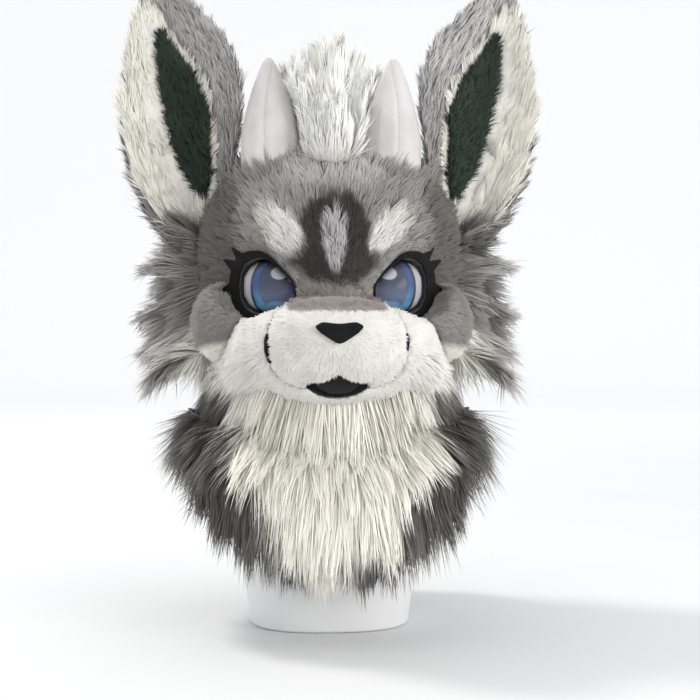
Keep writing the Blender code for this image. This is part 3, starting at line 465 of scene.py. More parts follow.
def fine_skin(name, piece, reach, field):
    """An unseen skin over the piece, cut finer than reach, that carries how its fur grows.

    The field gives the way that the fur lies, laid flat on the surface here, or its finished
    comb and up, and the pile's length, its lift from the surface and how thick it grows."""
    mesh = piece.data
    mesh.calc_loop_triangles()
    index = read(mesh.loop_triangles, "vertices", 3, np.int32)
    corners = read(mesh.vertices, "co")[index]
    normals = read(mesh.vertex_normals, "vector")[index]
    while True:
        sides = np.linalg.norm(corners - np.roll(corners, 1, axis=1), axis=2).max(axis=1)
        big = sides > reach
        if not big.any():
            break
        kept = [corners[~big], normals[~big]]
        for slot, whole in enumerate((corners[big], normals[big])):
            a, b, c = whole[:, 0], whole[:, 1], whole[:, 2]
            ab, bc, ca = (a + b) / 2, (b + c) / 2, (c + a) / 2
            parts = [(a, ab, ca), (ab, b, bc), (ca, bc, c), (ab, bc, ca)]
            cut = np.concatenate([np.stack(part, axis=1) for part in parts])
            kept[slot] = np.concatenate([kept[slot], cut])
        corners, normals = kept
    points = corners.reshape(-1, 3)
    normals = unit(normals.reshape(-1, 3), 1e-6)
    growth = {"up": normals, **field(points, normals)}
    if "way" in growth:
        way = growth.pop("way")
        growth["comb"] = unit(way - normals * np.sum(way * normals, axis=1)[:, None], 1e-5)
    take = np.repeat(growth["thick"].reshape(-1, 3).max(axis=1) > 0, 3)
    points = points[take]
    mesh = bpy.data.meshes.new(name)
    mesh.from_pydata(points, [], np.arange(len(points)).reshape(-1, 3))
    for key, values in growth.items():
        values = np.asarray(values, np.float32)
        if values.ndim == 0:
            values = np.full(len(take), values)
        kind, slot = ("FLOAT_VECTOR", "vector") if values.ndim == 2 else ("FLOAT", "value")
        mesh.attributes.new(key, kind, "POINT").data.foreach_set(slot, values[take].ravel())
    return mesh


def strand_of(name, levels):
    """A tapering blade along Z that looks along Y; each level gives a rise and a width."""
    points = [(side * width / 2, 0, rise) for rise, width in levels for side in (-1, 1)]
    points.append((0, 0, 1))
    last = len(points) - 1
    faces = [(i + 1, i, i + 2, i + 3) for i in range(0, last - 2, 2)] + [(last - 1, last - 2, last)]
    mesh = bpy.data.meshes.new(name)
    mesh.from_pydata(points, [], faces)
    rises = np.array([p[2] for p in points], np.float32)
    mesh.attributes.new("rise", "FLOAT", "POINT").data.foreach_set("value", rises)
    return bpy.data.objects.new(name, mesh)


short_strand = strand_of("short_strand", [(0.0, 1.0), (0.55, 0.8)])
long_strand = strand_of("long_strand", [(0.0, 1.0), (0.38, 0.9), (0.74, 0.58)])


def new_tree(name, inputs):
    """A tree from geometry to geometry with named inputs, each with its size or its kind.

    It gives a wire to start from, and a call that gives an input by its name."""
    tree = bpy.data.node_groups.new(name, "GeometryNodeTree")
    for way in ("INPUT", "OUTPUT"):
        tree.interface.new_socket("Geometry", in_out=way, socket_type="NodeSocketGeometry")
    for key, value in inputs.items():
        kind = value if isinstance(value, str) else "Float"
        made = tree.interface.new_socket(key, in_out="INPUT", socket_type="NodeSocket" + kind)
        if kind == "Float":
            made.default_value = value
    start = Wire(tree)
    return start, start.node("NodeGroupInput").twin


def run_tree(piece, tree, values):
    """Give the piece the tree, with its named inputs set before it first runs."""
    grow = modified(piece, "NODES", node_group=tree)
    for item in tree.interface.items_tree:
        if item.in_out == "INPUT" and item.name in values:
            grow[item.identifier] = values[item.name]


PILE_SIZES = {
    "Count per Area": 100000.0,
    "Width": 0.0012,
    "Lock Size": 0.01,
    "Gather": 0.5,
    "Lock Spread": 0.5,
    "Ruffle": 0.25,
    "Droop": 0.1,
    "Shortest": 0.72,
}


def pile_tree():
    """Strands on a skin: combed, gathered into locks, ruffled, and drooping at the tips."""
    kinds = {"Seed": "Int", "Strand": "Object", "Finish": "Material"}
    start, asked = new_tree("brushed pile", {**PILE_SIZES, **kinds})

    def carried(name, kind="FLOAT"):
        return start.node("GeometryNodeInputNamedAttribute", {"data_type": kind}, {"Name": name})

    def chance(low, high, seed):
        """A random value for each point: a vector where low is one."""
        vector = isinstance(low, tuple)
        first = 0 if vector else 2
        settings = {"data_type": "FLOAT_VECTOR" if vector else "FLOAT"}
        values = {first: low, first + 1: high, "Seed": seed}
        return start.node("FunctionNodeRandomValue", settings, values, 0 if vector else 1)

    density = asked("Count per Area") * carried("thick")
    values = {"Mesh": asked("Geometry"), "Density": density, "Seed": asked("Seed")}
    roots = start.node("GeometryNodeDistributePointsOnFaces", None, values)
    place = start.node("GeometryNodeInputPosition")
    up = carried("up", "FLOAT_VECTOR")
    comb = carried("comb", "FLOAT_VECTOR")
    lift = carried("lift")
    values = {"Vector": place, "Scale": 1.0 / asked("Lock Size")}
    cells = start.node("ShaderNodeTexVoronoi", None, values, "Position")
    lock_colour = cells.twin("Color")
    inwards = cells - place
    settings = {"operation": "DOT_PRODUCT"}
    height = start.node("ShaderNodeVectorMath", settings, {0: inwards, 1: up}, "Value")
    inwards = inwards - up * height
    way = comb * lift.maths("COSINE") + up * lift.maths("SINE")
    way = way + (lock_colour - (0.5, 0.5, 0.5)) * asked("Lock Spread")
    way = way + chance((-1.0, -1.0, -1.0), (1.0, 1.0, 1.0), 11) * asked("Ruffle")
    way = way.maths("NORMALIZE")
    lengths = carried("pile") * chance(asked("Shortest"), 1.1, 23)
    lengths = lengths * lock_colour.part(0).between(0.0, 1.0, 0.85, 1.12)
    turn = start.node("FunctionNodeAlignRotationToVector", {"axis": "Z"}, {"Vector": way})
    settings = {"axis": "Y", "pivot_axis": "Z"}
    values = {"Rotation": turn, "Vector": up}
    turn = start.node("FunctionNodeAlignRotationToVector", settings, values)
    values = {"Axis": (0.0, 0.0, 1.0), "Angle": chance(-0.4, 0.4, 37)}
    roll = start.node("FunctionNodeAxisAngleToRotation", None, values)
    values = {"Rotation": turn, "Rotate By": roll}
    turn = start.node("FunctionNodeRotateRotation", {"rotation_space": "LOCAL"}, values)
    bend = inwards * asked("Gather") + lengths * asked("Droop") * (0.0, 0.0, -1.0)
    settings = {"data_type": "FLOAT_VECTOR", "domain": "POINT"}
    values = {"Geometry": roots, "Name": "bend", "Value": bend}
    roots = start.node("GeometryNodeStoreNamedAttribute", settings, values)
    blade = start.node("GeometryNodeObjectInfo", None, {"Object": asked("Strand")}, "Geometry")
    width = asked("Width") * chance(0.7, 1.25, 53)
    size = start.node("ShaderNodeCombineXYZ", None, {0: width, 1: width, 2: lengths})
    values = {"Points": roots, "Instance": blade, "Rotation": turn, "Scale": size}
    strands = start.node("GeometryNodeInstanceOnPoints", None, values)
    strands = start.node("GeometryNodeRealizeInstances", None, {"Geometry": strands})
    rise = carried("rise")
    values = {"Geometry": strands, "Offset": carried("bend", "FLOAT_VECTOR") * (rise * rise)}
    strands = start.node("GeometryNodeSetPosition", None, values)
    values = {"Geometry": strands, "Material": asked("Finish")}
    strands = start.node("GeometryNodeSetMaterial", None, values)
    start.node("NodeGroupOutput", None, {"Geometry": strands})
    return start.tree


brushed_pile = pile_tree()


def chart_mesh(mesh, u, v):
    """Give a mesh its chart, from u and v at each vertex."""
    corner = read(mesh.loops, "vertex_index", 1, np.int32)
    pairs = np.stack([u.ravel()[corner], v.ravel()[corner]], axis=1).astype(np.float32)
    mesh.uv_layers.new(name="OFBake").uv.foreach_set("vector", pairs.ravel())


pile_sheen = {"Sheen_Weight": 0.25, "Sheen_Roughness": 0.4, "Specular_IOR_Level": 0.35}
fur_finish = finish_of("dyed_pile", dyed, **pile_sheen)
# Shading follows the skin more than the single blades, as soft fur does. Each strand takes its
# colours from the place where it is seen, past its middle, and has its own cell of the chart.
BLADE_SHARE = 0.12
TURNED_AWAY = 0.08
SEEN_TIP = 0.55
TIP_DYE_FROM = 0.8
DYE_RANGE = (0.003, 0.95)
CELL_WIDE, CELL_TALL = 0.7, 0.84


def fur(name, piece, reach, field, slot, paint, count, seed, strand=short_strand, vary=0.2, **sizes):
    """Fur on a piece as one mesh of about count strands, dyed from root to tip by paint."""
    mesh = fine_skin(name, piece, reach, field)
    thick = read(mesh.attributes["thick"].data, "value", 1).reshape(-1, 3).mean(axis=1)
    grown = float((read(mesh.polygons, "area", 1) * thick).sum())
    coat = placed(name, mesh)
    asked = dict(PILE_SIZES, Seed=seed, Strand=strand, Finish=fur_finish)
    asked["Count per Area"] = count / grown
    for key, value in sizes.items():
        asked[key.replace("_", " ").title()] = value
    run_tree(coat, brushed_pile, asked)
    mesh = apply_all(coat).data
    blade = read(strand.data.vertices, "co")
    spread, rise = blade[:, 0], blade[:, 2]
    points = read(mesh.vertices, "co").reshape(-1, len(blade), 3)
    total = len(points)
    up = read(mesh.attributes["up"].data, "vector").reshape(points.shape)
    root_dye, tip_dye = paint(points[:, :2].mean(axis=1) * (1 - SEEN_TIP) + points[:, -1] * SEEN_TIP)
    shades = np.random.default_rng(seed)
    share = eased(rise, 0.0, TIP_DYE_FROM)[None, :, None]
    dye = root_dye[:, None] * (1 - share) + tip_dye[:, None] * share
    dye = dye * (1 + vary * (shades.random((total, 1, 1)) - 0.5))
    colours = np.ones((total, len(blade), 4), np.float32)
    colours[:, :, :3] = np.clip(dye, *DYE_RANGE)
    side = points[:, 0] - points[:, 1]
    rises = points[:, 2] + points[:, 3] - points[:, 0] - points[:, 1]
    facing = unit(np.cross(side, rises))[:, None]
    shading = unit((1 - BLADE_SHARE) * up + BLADE_SHARE * facing)
    turned = np.sum(shading * facing, axis=2) < TURNED_AWAY
    shading[turned] = np.repeat(facing, len(blade), axis=1)[turned]
    for key in ("up", "comb", "pile", "lift", "thick", "bend", "rise"):
        if key in mesh.attributes:
            mesh.attributes.remove(mesh.attributes[key])
    dye_mesh(mesh, colours)
    across = math.ceil(math.sqrt(total))
    cell = np.arange(total)[:, None]
    u = (cell % across + 0.5 + CELL_WIDE * spread) / across
    v = (cell // across + 0.5 + CELL_TALL * (rise - 0.5)) / across
    chart_mesh(mesh, u, v)
    mesh.shade_smooth()
    mesh.normals_split_custom_set_from_vertices(shading.reshape(-1, 3))
    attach(coat, "root")


WHITE = (0.79, 0.772, 0.725)


def muzzle_dye(points):
    patch = patches(points, 130)
    top = eased(points[:, 2] + 0.0015 * patch, 0.3215, 0.3245)
    top = top * (1 - eased(np.abs(points[:, 0]), 0.044, 0.050))
    tips = blended(WHITE, np.outer(1 + 0.4 * patch, (0.235, 0.205, 0.19)), top)
    return tips * 0.95, tips


def muzzle_growth(points, normals):
    bare = signed_gap(points, ["nose", "mouth_lining", "mouth_panel", "eye_frame_left", "eye_frame_right"])
    hidden = signed_gap(points, ["head_shell"])
    pile = 0.0052 * np.clip(0.3 + bare / 0.012, 0.3, 1)
    thick = (bare > 0.0012) & (hidden > -0.001)
    return {"way": points - np.array((0, -0.235, 0.312)), "pile": pile, "lift": 0.4, "thick": thick}


def jaw_growth(points, normals):
    outer = eased(np.abs(points[:, 0]), 0.060, 0.092) * (1 - eased(points[:, 2], 0.272, 0.292))
    way = points - np.array((0, -0.22, 0.30)) + np.outer(outer, (0, 0, -0.06))
    bare = signed_gap(points, ["mouth_lining", "mouth_panel"])
    hidden = signed_gap(points, ["head_shell", "muzzle"])
    pile = (0.0048 + 0.026 * outer) * np.clip(0.3 + bare / 0.012, 0.3, 1)
    thick = (bare > 0.0012) & (hidden > -0.001)
    return {"way": way, "pile": pile, "lift": 0.38, "thick": thick}


def chin_growth(points, normals):
    """The fringe under the chin hangs in front of the throat and fans out."""
    x, y, z = points.T
    none = np.zeros(len(points))
    ahead = unit(np.stack([2.2 * x, np.minimum(y + 0.06, -0.02), none], axis=1))
    fan = unit(np.stack([4.0 * x, none, none - 1], axis=1))
    pile = 0.042 + 0.024 * (1 - eased(np.abs(x), 0.0, 0.07))
    hidden = signed_gap(points, ["head_shell", "muzzle", "mouth_lining"])
    under = (normals[:, 2] < -0.70) & (z < 0.250) & (y > -0.148) & (np.abs(x) < 0.082)
    return {"up": ahead, "comb": fan, "pile": pile * (1 + 0.6 * patches(points, 110)),
            "lift": 0.12, "thick": under & (hidden > -0.001)}


def chin_dye(points):
    tips = np.tile(CREAM, (len(points), 1))
    return tips * 0.95, tips


def cheek_dye(points):
    x, z = np.abs(points[:, 0]), points[:, 2]
    patch = patches(points, 40)
    tips = blended((0.31, 0.295, 0.285), (0.25, 0.235, 0.225), eased(x, 0.10, 0.135))
    tips = tips * (1 + 0.15 * patch)[:, None]
    low = 1 - eased(z + 0.004 * patch + 0.15 * (x - 0.11), 0.284, 0.294)
    tips = blended(tips, CREAM, low)
    return tips * 0.7, tips


def cheek_growth(points, normals):
    bare = signed_gap(points, ["eye_frame_left", "eye_frame_right", "eye_dome_left", "eye_dome_right"])
    hidden = signed_gap(points, ["head_shell", "jaw", "muzzle"])
    pile = 0.009 * np.clip(0.4 + bare / 0.02, 0.4, 1)
    thick = (bare > 0.0012) & (hidden > -0.001)
    return {"way": points - np.array((0, -0.17, 0.35)), "pile": pile, "lift": 0.35, "thick": thick}


PLUSH = {"width": 0.0010, "lock_size": 0.005, "gather": 0.3, "lock_spread": 0.3}
muzzle = soft_form("muzzle_ball", ["muzzle"], 0.0022, 4)
backed(muzzle, "white_plush", muzzle_dye, 1.0, "muzzle")
jaw = soft_form("lower_jaw", ["jaw"], 0.0025, 5)
backed(jaw, "white_plush", muzzle_dye, 1.0, "jaw")
fur("muzzle_plush", muzzle, 0.006, muzzle_growth, "white_plush", muzzle_dye, 18000, 3, vary=0.06, **PLUSH)
fur("jaw_plush", jaw, 0.006, jaw_growth, "white_plush", muzzle_dye, 22000, 5, vary=0.06,
    width=0.0010, lock_size=0.007, gather=0.4, lock_spread=0.18, ruffle=0.13)
fur("chin_fringe", jaw, 0.006, chin_growth, "white_fur", chin_dye, 4500, 6, long_strand, 0.06,
    lock_size=0.014, gather=0.65, lock_spread=0.26, ruffle=0.10, width=0.0013, shortest=0.35)
for side in ("left", "right"):
    pad = soft_form(f"cheek_pad_{side}", [f"cheek_{side}"], 0.0025, 4)
    backed(pad, "grey_plush", cheek_dye, 0.8, f"cheek_{side}")
    fur(f"cheek_plush_{side}", pad, 0.006, cheek_growth, "grey_plush", cheek_dye, 7000, 7, **PLUSH)


# Mouth and nose. A black felt rim round a panel of dark air mesh, glued into the jaw, and a
# stuffed black minky nose sewn on the muzzle's front.
def felt(place):
    matted = mottle(place, 420.0, 4.0)
    patchy = mottle(place, 45.0).between(0.3, 0.8)
    return {
        "Base Color": place.blend(rgb(0.0035, 0.0033, 0.0033), rgb(0.008, 0.0076, 0.0076), patchy),
        "Roughness": matted.between(0.3, 0.7, 0.75, 0.95),
        "Normal": bumped(matted, 0.0012, 0.7),
    }


def air_mesh(place):
    weave = woven(place, 0.0011)
    high = weave.between(0.3, 0.8)
    return {
        "Base Color": place.blend(rgb(0.0045, 0.0045, 0.0047), rgb(0.010, 0.010, 0.0103), high),
        "Roughness": weave.between(0.2, 0.8, 0.5, 0.7),
        "Normal": bumped(weave, 0.0006, 0.8),
    }


black_felt = finish_of("black_felt", felt, Sheen_Weight=0.03, Specular_IOR_Level=0.2)
vent_mesh = finish_of("vent_mesh", air_mesh, Specular_IOR_Level=0.4)
mouth_rim = soft_form("mouth_rim", ["mouth_lining"], 0.0012, 3)
joined_to_root(mouth_rim, black_felt, "black_plush", "mouth_lining")
vent = soft_form("mouth_vent", ["mouth_panel"], 0.001, 2)
joined_to_root(vent, vent_mesh, "vent_cloth", "mouth_panel")


def surface_of(piece):
    return BVHTree.FromObject(piece, bpy.context.evaluated_depsgraph_get())


# The mouth line runs on round the muzzle as a sliver of black felt tucked in at each side.
# The photograph shows more of it on the wearer's right.
CORNER_TOP = 0.302
CORNER_LONG = 0.028
CORNER_THIN = 0.0006
CORNER_WIDE = 0.0036
CORNER_DEEP = 0.0060
CORNER_STEPS = 14
CORNER_SIDES = 8
BACKWARDS = Vector((0, 1, 0))
ball, pad = surface_of(muzzle), surface_of(jaw)
for side, sign, share in (("left", 1, 0.6), ("right", -1, 1.0)):
    ring = []
    foot = CORNER_TOP - CORNER_LONG * share
    for step, rise in enumerate(np.linspace(CORNER_TOP, foot, CORNER_STEPS)):
        # The sliver lies where the muzzle's side sinks behind the jaw's plush.
        for across in np.linspace(0.045, 0.085, 80):
            origin = Vector((sign * across, -0.3, rise))
            near = ball.ray_cast(origin, BACKWARDS)[0]
            behind = pad.ray_cast(origin, BACKWARDS)[0]
            if not near or (behind and behind.y < near.y):
                break
        along = step / (CORNER_STEPS - 1)
        bulge = math.sin(math.pi * (0.06 + 0.80 * along)) * (1 - 0.4 * along)
        half = CORNER_THIN + CORNER_WIDE * bulge
        if behind or near:
            middle = Vector((sign * across, (behind or near).y - 0.001, rise))
            ring.append((middle, half * share))
    points, faces = [], []
    for middle, half in ring:
        for turn in range(CORNER_SIDES):
            angle = turn * 2 * math.pi / CORNER_SIDES
            deep = CORNER_DEEP * math.sin(angle) - 0.0015
            points.append(middle + Vector((half * math.cos(angle), deep, 0)))
    for row in range(0, len(points) - CORNER_SIDES, CORNER_SIDES):
        for turn in range(CORNER_SIDES):
            a, b = row + turn, row + (turn + 1) % CORNER_SIDES
            faces.append((a, b, b + CORNER_SIDES, a + CORNER_SIDES))
    last = len(points) - 1
    faces += [tuple(range(CORNER_SIDES)), tuple(range(last, last - CORNER_SIDES, -1))]
    mesh = bpy.data.meshes.new("mouth_corner")
    mesh.from_pydata(points, [], faces)
    corner = placed(f"mouth_corner_{side}", mesh)
    made = bmesh.new()
    made.from_mesh(mesh)
    bmesh.ops.recalc_face_normals(made, faces=made.faces)
    made.to_mesh(mesh)
    made.free()
    modified(corner, "SUBSURF", levels=1, render_levels=1)
    apply_all(corner).data.shade_smooth()
    joined_to_root(corner, black_felt, "black_plush")
nose = soft_form("stuffed_nose", ["nose"], 0.0012, 4, 0.0012)
joined_to_root(nose, black_felt, "black_plush", "nose")


# Eyes. A bowl of printed mesh that the wearer sees through, a clear moulded dome over it,
# and a cut felt frame with lashes glued round both.
EYE_TURN = math.radians(24)
EYE_CHART = 0.080


def charted(piece, side):
    """Give an eye piece a chart in the eye's plane: across from the nose side, and up."""
    sign = 1 if side == "left" else -1
    middle = np.mean(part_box(f"eye_dome_{side}"), axis=0)
    outward = np.array((sign * math.cos(EYE_TURN), math.sin(EYE_TURN), 0))
    points = read(piece.data.vertices, "co") - middle
    chart_mesh(piece.data, points @ outward / EYE_CHART + 0.5, points[:, 2] / EYE_CHART + 0.5)
    return piece


def printed_eye(place):
    chart = place.node("ShaderNodeUVMap", {"uv_map": "OFBake"})
    across = (chart.part(0) - 0.5) * EYE_CHART
    rise = (chart.part(1) - 0.5) * EYE_CHART

    def oval(x, z, half_width, half_height):
        wide = (across - x) / half_width
        tall = (rise - z) / half_height
        return (wide * wide + tall * tall).maths("SQRT")

    ring = oval(-0.006, -0.001, 0.0265, 0.034)
    inner = oval(-0.007, 0.001, 0.0185, 0.026)
    moon = oval(-0.007, -0.027, 0.015, 0.0125)
    shine = oval(-0.010, 0.013, 0.0085, 0.0065)
    iris = place.blend(rgb(0.035, 0.10, 0.36), rgb(0.12, 0.50, 0.82), rise.between(0.004, -0.022))
    plane = place.node("ShaderNodeCombineXYZ", None, {0: across * 90.0, 1: rise * 90.0})
    rays = mottle(plane, 3.0, 3.0).between(0.5, 0.75, 0, 0.5)
    iris = iris.to(rgb(0.03, 0.12, 0.45), rays)
    # The pupil's grey-blue, paler towards the bottom, is partly print and partly a painted reflection in
    # the dome.
    low = rise.between(0.006, -0.012)
    pupil_and_reflection = place.blend(rgb(0.055, 0.065, 0.115), rgb(0.13, 0.165, 0.29), low)
    colour = place.blend(rgb(0.80, 0.81, 0.84), rgb(0.010, 0.014, 0.035), ring.between(1.02, 0.98))
    colour = colour.to(iris, ring.between(0.92, 0.86))
    colour = colour.to(pupil_and_reflection, inner.between(1.04, 0.90))
    colour = colour.to(rgb(0.20, 0.46, 0.84), moon.between(1.08, 0.92, 0, 0.85))
    colour = colour.to(rgb(0.82, 0.85, 0.92), shine.between(1.1, 0.85, 0, 0.92))
    holes = woven(place, 0.0007)
    shade = rise.between(0.014, 0.028, 1.0, 0.6)
    return {
        "Base Color": colour * shade * holes.between(0.1, 0.9, 0.93, 1.0),
        "Roughness": holes.between(0.2, 0.8, 0.45, 0.6),
        "Normal": bumped(holes, 0.0002, 0.4),
    }


def clear_acrylic(place):
    facing = place.node("ShaderNodeLayerWeight", None, {"Blend": 0.35}, "Fresnel")
    return {"Alpha": facing.between(0.1, 1.0, 0.09, 0.32)}


print_finish = finish_of("eye_print_mesh", printed_eye, Specular_IOR_Level=0.4)
gloss = {"Base_Color": rgb(0.10, 0.11, 0.13), "Roughness": 0.03, "IOR": 1.49}
clear = finish_of("clear_dome", clear_acrylic, Specular_IOR_Level=0.9, **gloss)
for side in ("left", "right"):
    bowl = charted(soft_form(f"printed_bowl_{side}", [f"eye_print_{side}"], 0.0012, 2), side)
    joined_to_root(bowl, print_finish, "eye_print", f"eye_print_{side}")
    dome = sharpened(copied(f"eye_dome_{side}", f"clear_dome_{side}"), 45)
    modified(dome, "SUBSURF", levels=1, render_levels=1)
    charted(sharpened(apply_all(dome), 45), side)
    joined_to_root(dome, clear, "clear_dome", f"eye_dome_{side}")
    rim = soft_form(f"felt_frame_{side}", [f"eye_frame_{side}"], 0.001, 2)
    joined_to_root(rim, black_felt, "black_plush", f"eye_frame_{side}")


# Horns. Pale lilac minky cones, stuffed firm, closed by one hand-sewn seam down the front;
# their roots go into slits of the crown.
def minky(place):
    nap = mottle(place, 260.0, 4.0)
    brushed = mottle(place, 24.0, 3.0)
    worn = brushed.between(0.3, 0.75)
    return {
        "Base Color": place.blend(rgb(0.64, 0.615, 0.612), rgb(0.53, 0.505, 0.50), worn),
        "Roughness": nap.between(0.3, 0.7, 0.6, 0.85),
        "Normal": bumped(nap * 0.4 + brushed * 0.6, 0.0016, 0.6),
    }


def thread(place):
    twist = mottle(place, 1800.0)
    high = twist.between(0.3, 0.7)
    return {
        "Base Color": place.blend(rgb(0.46, 0.43, 0.43), rgb(0.60, 0.57, 0.57), high),
        "Roughness": twist.between(0.3, 0.7, 0.5, 0.7),
    }


minky_sheen = {"Sheen_Weight": 0.45, "Sheen_Roughness": 0.4, "Specular_IOR_Level": 0.3}
horn_minky = finish_of("horn_minky", minky, **minky_sheen)
seam_thread = finish_of("seam_thread", thread)


def stitch_tree():
    """Short thread stitches set along a curve at an even pitch."""
    sizes = {"Pitch": 0.004, "Length": 0.003, "Thickness": 0.0005, "Finish": "Material"}
    start, asked = new_tree("hand stitches", sizes)
    values = {"Curve": asked("Geometry"), "Length": asked("Pitch")}
    points = start.node("GeometryNodeCurveToPoints", {"mode": "LENGTH"}, values)
    bead = start.node("GeometryNodeMeshUVSphere", None, {"Segments": 6, "Rings": 5, "Radius": 0.5})
    thick = asked("Thickness")
    size = start.node("ShaderNodeCombineXYZ", None, {0: thick, 1: thick, 2: asked("Length")})
    values = {"Points": points, "Instance": bead, "Rotation": points.twin("Rotation"), "Scale": size}
    made = start.node("GeometryNodeInstanceOnPoints", None, values)
    made = start.node("GeometryNodeRealizeInstances", None, {"Geometry": made})
    values = {"Geometry": made, "Material": asked("Finish")}
    made = start.node("GeometryNodeSetMaterial", None, values)
    start.node("NodeGroupOutput", None, {"Geometry": made})
    return start.tree


hand_stitches = stitch_tree()
SEAM_STEPS = 40
SEAM_PULL = 0.0012
SEAM_REACH = 0.0022
SEAM_PROUD = Vector((0, 0.0004, 0))
for side, sign in (("left", 1), ("right", -1)):
    horn = soft_form(f"stuffed_horn_{side}", [f"horn_{side}"], 0.0022, 4, 0.0008, kept=0.8)
    surface = surface_of(horn)
    low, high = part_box(f"horn_{side}")
    middle = (low[0] + high[0]) / 2 - sign * 0.002
    path = []
    for along in np.linspace(0, 1, SEAM_STEPS):
        rise = high[2] - 0.004 - along * (high[2] - low[2] - 0.024)
        origin = Vector((middle + sign * 0.008 * math.sin(along * 2.4), low[1] - 0.1, rise))
        hit = surface.ray_cast(origin, BACKWARDS)[0]
        if hit:
            path.append(hit)
    # The seam draws the cloth in along its path.
    for vertex in horn.data.vertices:
        gap = min((vertex.co - p).length for p in path)
        vertex.co -= vertex.normal * SEAM_PULL * math.exp(-((gap / SEAM_REACH) ** 2))
    horn.data.update()
    joined_to_root(horn, horn_minky, "horn_suede", f"horn_{side}")
    line = bpy.data.curves.new("seam_path", "CURVE")
    line.dimensions = "3D"
    spline = line.splines.new("POLY")
    spline.points.add(len(path) - 1)
    for point, place in zip(spline.points, path):
        point.co = (*(place + SEAM_PROUD), 1)
    seam = placed(f"horn_seam_{side}", line)
    run_tree(seam, hand_stitches, {"Finish": seam_thread})
    graph = bpy.context.evaluated_depsgraph_get()
    stitches = bpy.data.meshes.new_from_object(seam.evaluated_get(graph))
    bpy.data.objects.remove(seam)
    seam = placed(f"horn_seam_{side}", stitches)
    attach(seam, "root")


# Ears. Two cupped layers of foam and fur sewn along the rim: grey outside, long white pile
# inside, and a blackish green core of short fur sewn on the white.
def ear_shell_dye(points):
    tips = blended((0.38, 0.365, 0.355), (0.62, 0.605, 0.59), eased(points[:, 2], 0.46, 0.60))
    tips = tips * (1 + 0.2 * patches(points, 30))[:, None]
    return tips * 0.5, tips


def ear_lining_dye_and_shade(points):
    # The cream is dimmed to about nine tenths: painted shade, as the ear's inside lies in shade.
    tips = np.outer(0.9 + 0.05 * patches(points, 30), CREAM)
    return tips * 0.93, tips


def ear_core_dye(points):
    tips = np.outer(1 + 0.5 * patches(points, 60), (0.024, 0.046, 0.029))
    return tips * 0.4, tips


for side, sign in (("left", 1), ("right", -1)):
    root = np.array((sign * 0.125, -0.01, 0.40))
    core_middle = np.array((sign * 0.152, -0.01, 0.52))
    shell_node, lining_node, core_node = (f"ear_{part}_{side}" for part in ("shell", "lining", "core"))
    shell = soft_form(f"ear_back_{side}", [shell_node], 0.0024, 2, -0.0006)
    backed(shell, "grey_fur", ear_shell_dye, 0.8, shell_node)
    inner = soft_form(f"ear_inside_{side}", [lining_node], 0.0024, 2)
    backed(inner, "white_fur", ear_lining_dye_and_shade, 1.0, lining_node)
    core = soft_form(f"ear_middle_{side}", [core_node], 0.0022, 3)
    backed(core, "green_fur", ear_core_dye, 0.9, core_node)

    def shell_growth(points, normals):
        hidden = signed_gap(points, ["head_shell", lining_node, f"cheek_fur_{side}"])
        lined = np.abs(signed_gap(points, [lining_node]))
        thick = (hidden > 0.0008) & ((lined > 0.005) | (normals[:, 1] > 0.2))
        pile = 0.018 - 0.006 * eased(points[:, 2], 0.60, 0.67)
        way = points - root + np.array((sign * 0.02, 0.0, 0.05))
        return {"way": way, "pile": pile, "lift": 0.24, "thick": thick}

    def inner_growth(points, normals):
        """The white pile is combed upwards, and away from the core beside it."""
        hidden = signed_gap(points, ["head_shell", shell_node, core_node])
        near_core = np.abs(signed_gap(points, [core_node]))
        thick = (hidden > 0.0008) & (normals[:, 1] < 0.5) & (near_core > 0.003)
        way = (points - root) * np.array((0.5, 1.0, 1.0)) + np.array((sign * 0.01, -0.01, 0.04))
        away = (points - core_middle) * np.array((1.0, 1.0, 0.35))
        close = 1 - eased(near_core, 0.006, 0.022)
        way = way / 0.12 + (away / 0.03) * close[:, None]
        longest = 0.033 - 0.017 * eased(points[:, 2], 0.58, 0.63)
        pile = np.minimum(longest, 0.010 + 0.9 * near_core)
        return {"way": way, "pile": pile, "lift": 0.12, "thick": thick}

    def core_growth(points, normals):
        hidden = signed_gap(points, [lining_node])
        thick = (hidden > 0.0006) & (normals[:, 1] < 0.4)
        way = points - root + np.array((0.0, 0.0, 0.03))
        return {"way": way, "pile": 0.011, "lift": 0.75, "thick": thick}

    fur(f"ear_back_fur_{side}", shell, 0.008, shell_growth, "grey_fur", ear_shell_dye, 11000, 11,
        lock_size=0.010, lock_spread=0.28, ruffle=0.12, gather=0.6, width=0.0013)
    fur(f"ear_inside_fur_{side}", inner, 0.008, inner_growth, "white_fur", ear_lining_dye_and_shade, 11000, 13,
        vary=0.05, lock_size=0.013, lock_spread=0.18, ruffle=0.08, gather=0.6, width=0.0014)
    fur(f"ear_middle_fur_{side}", core, 0.006, core_growth, "green_fur", ear_core_dye, 5000, 17,
        lock_size=0.005, width=0.0012)


# Head fur. Long grey pile on the shell, sheared short on the bridge and round the eyes,
# brushed up and outwards from the nose, with an airbrushed dark blaze and pale brows.
EYE_NODES = [f"eye_{part}_{side}" for part in ("frame", "dome", "print") for side in ("left", "right")]
BARE_NODES = ["muzzle", "jaw", "nose"]
for side in ("left", "right"):
    BARE_NODES += [f"cheek_{side}", f"ear_shell_{side}", f"horn_{side}", f"cheek_fur_{side}"]


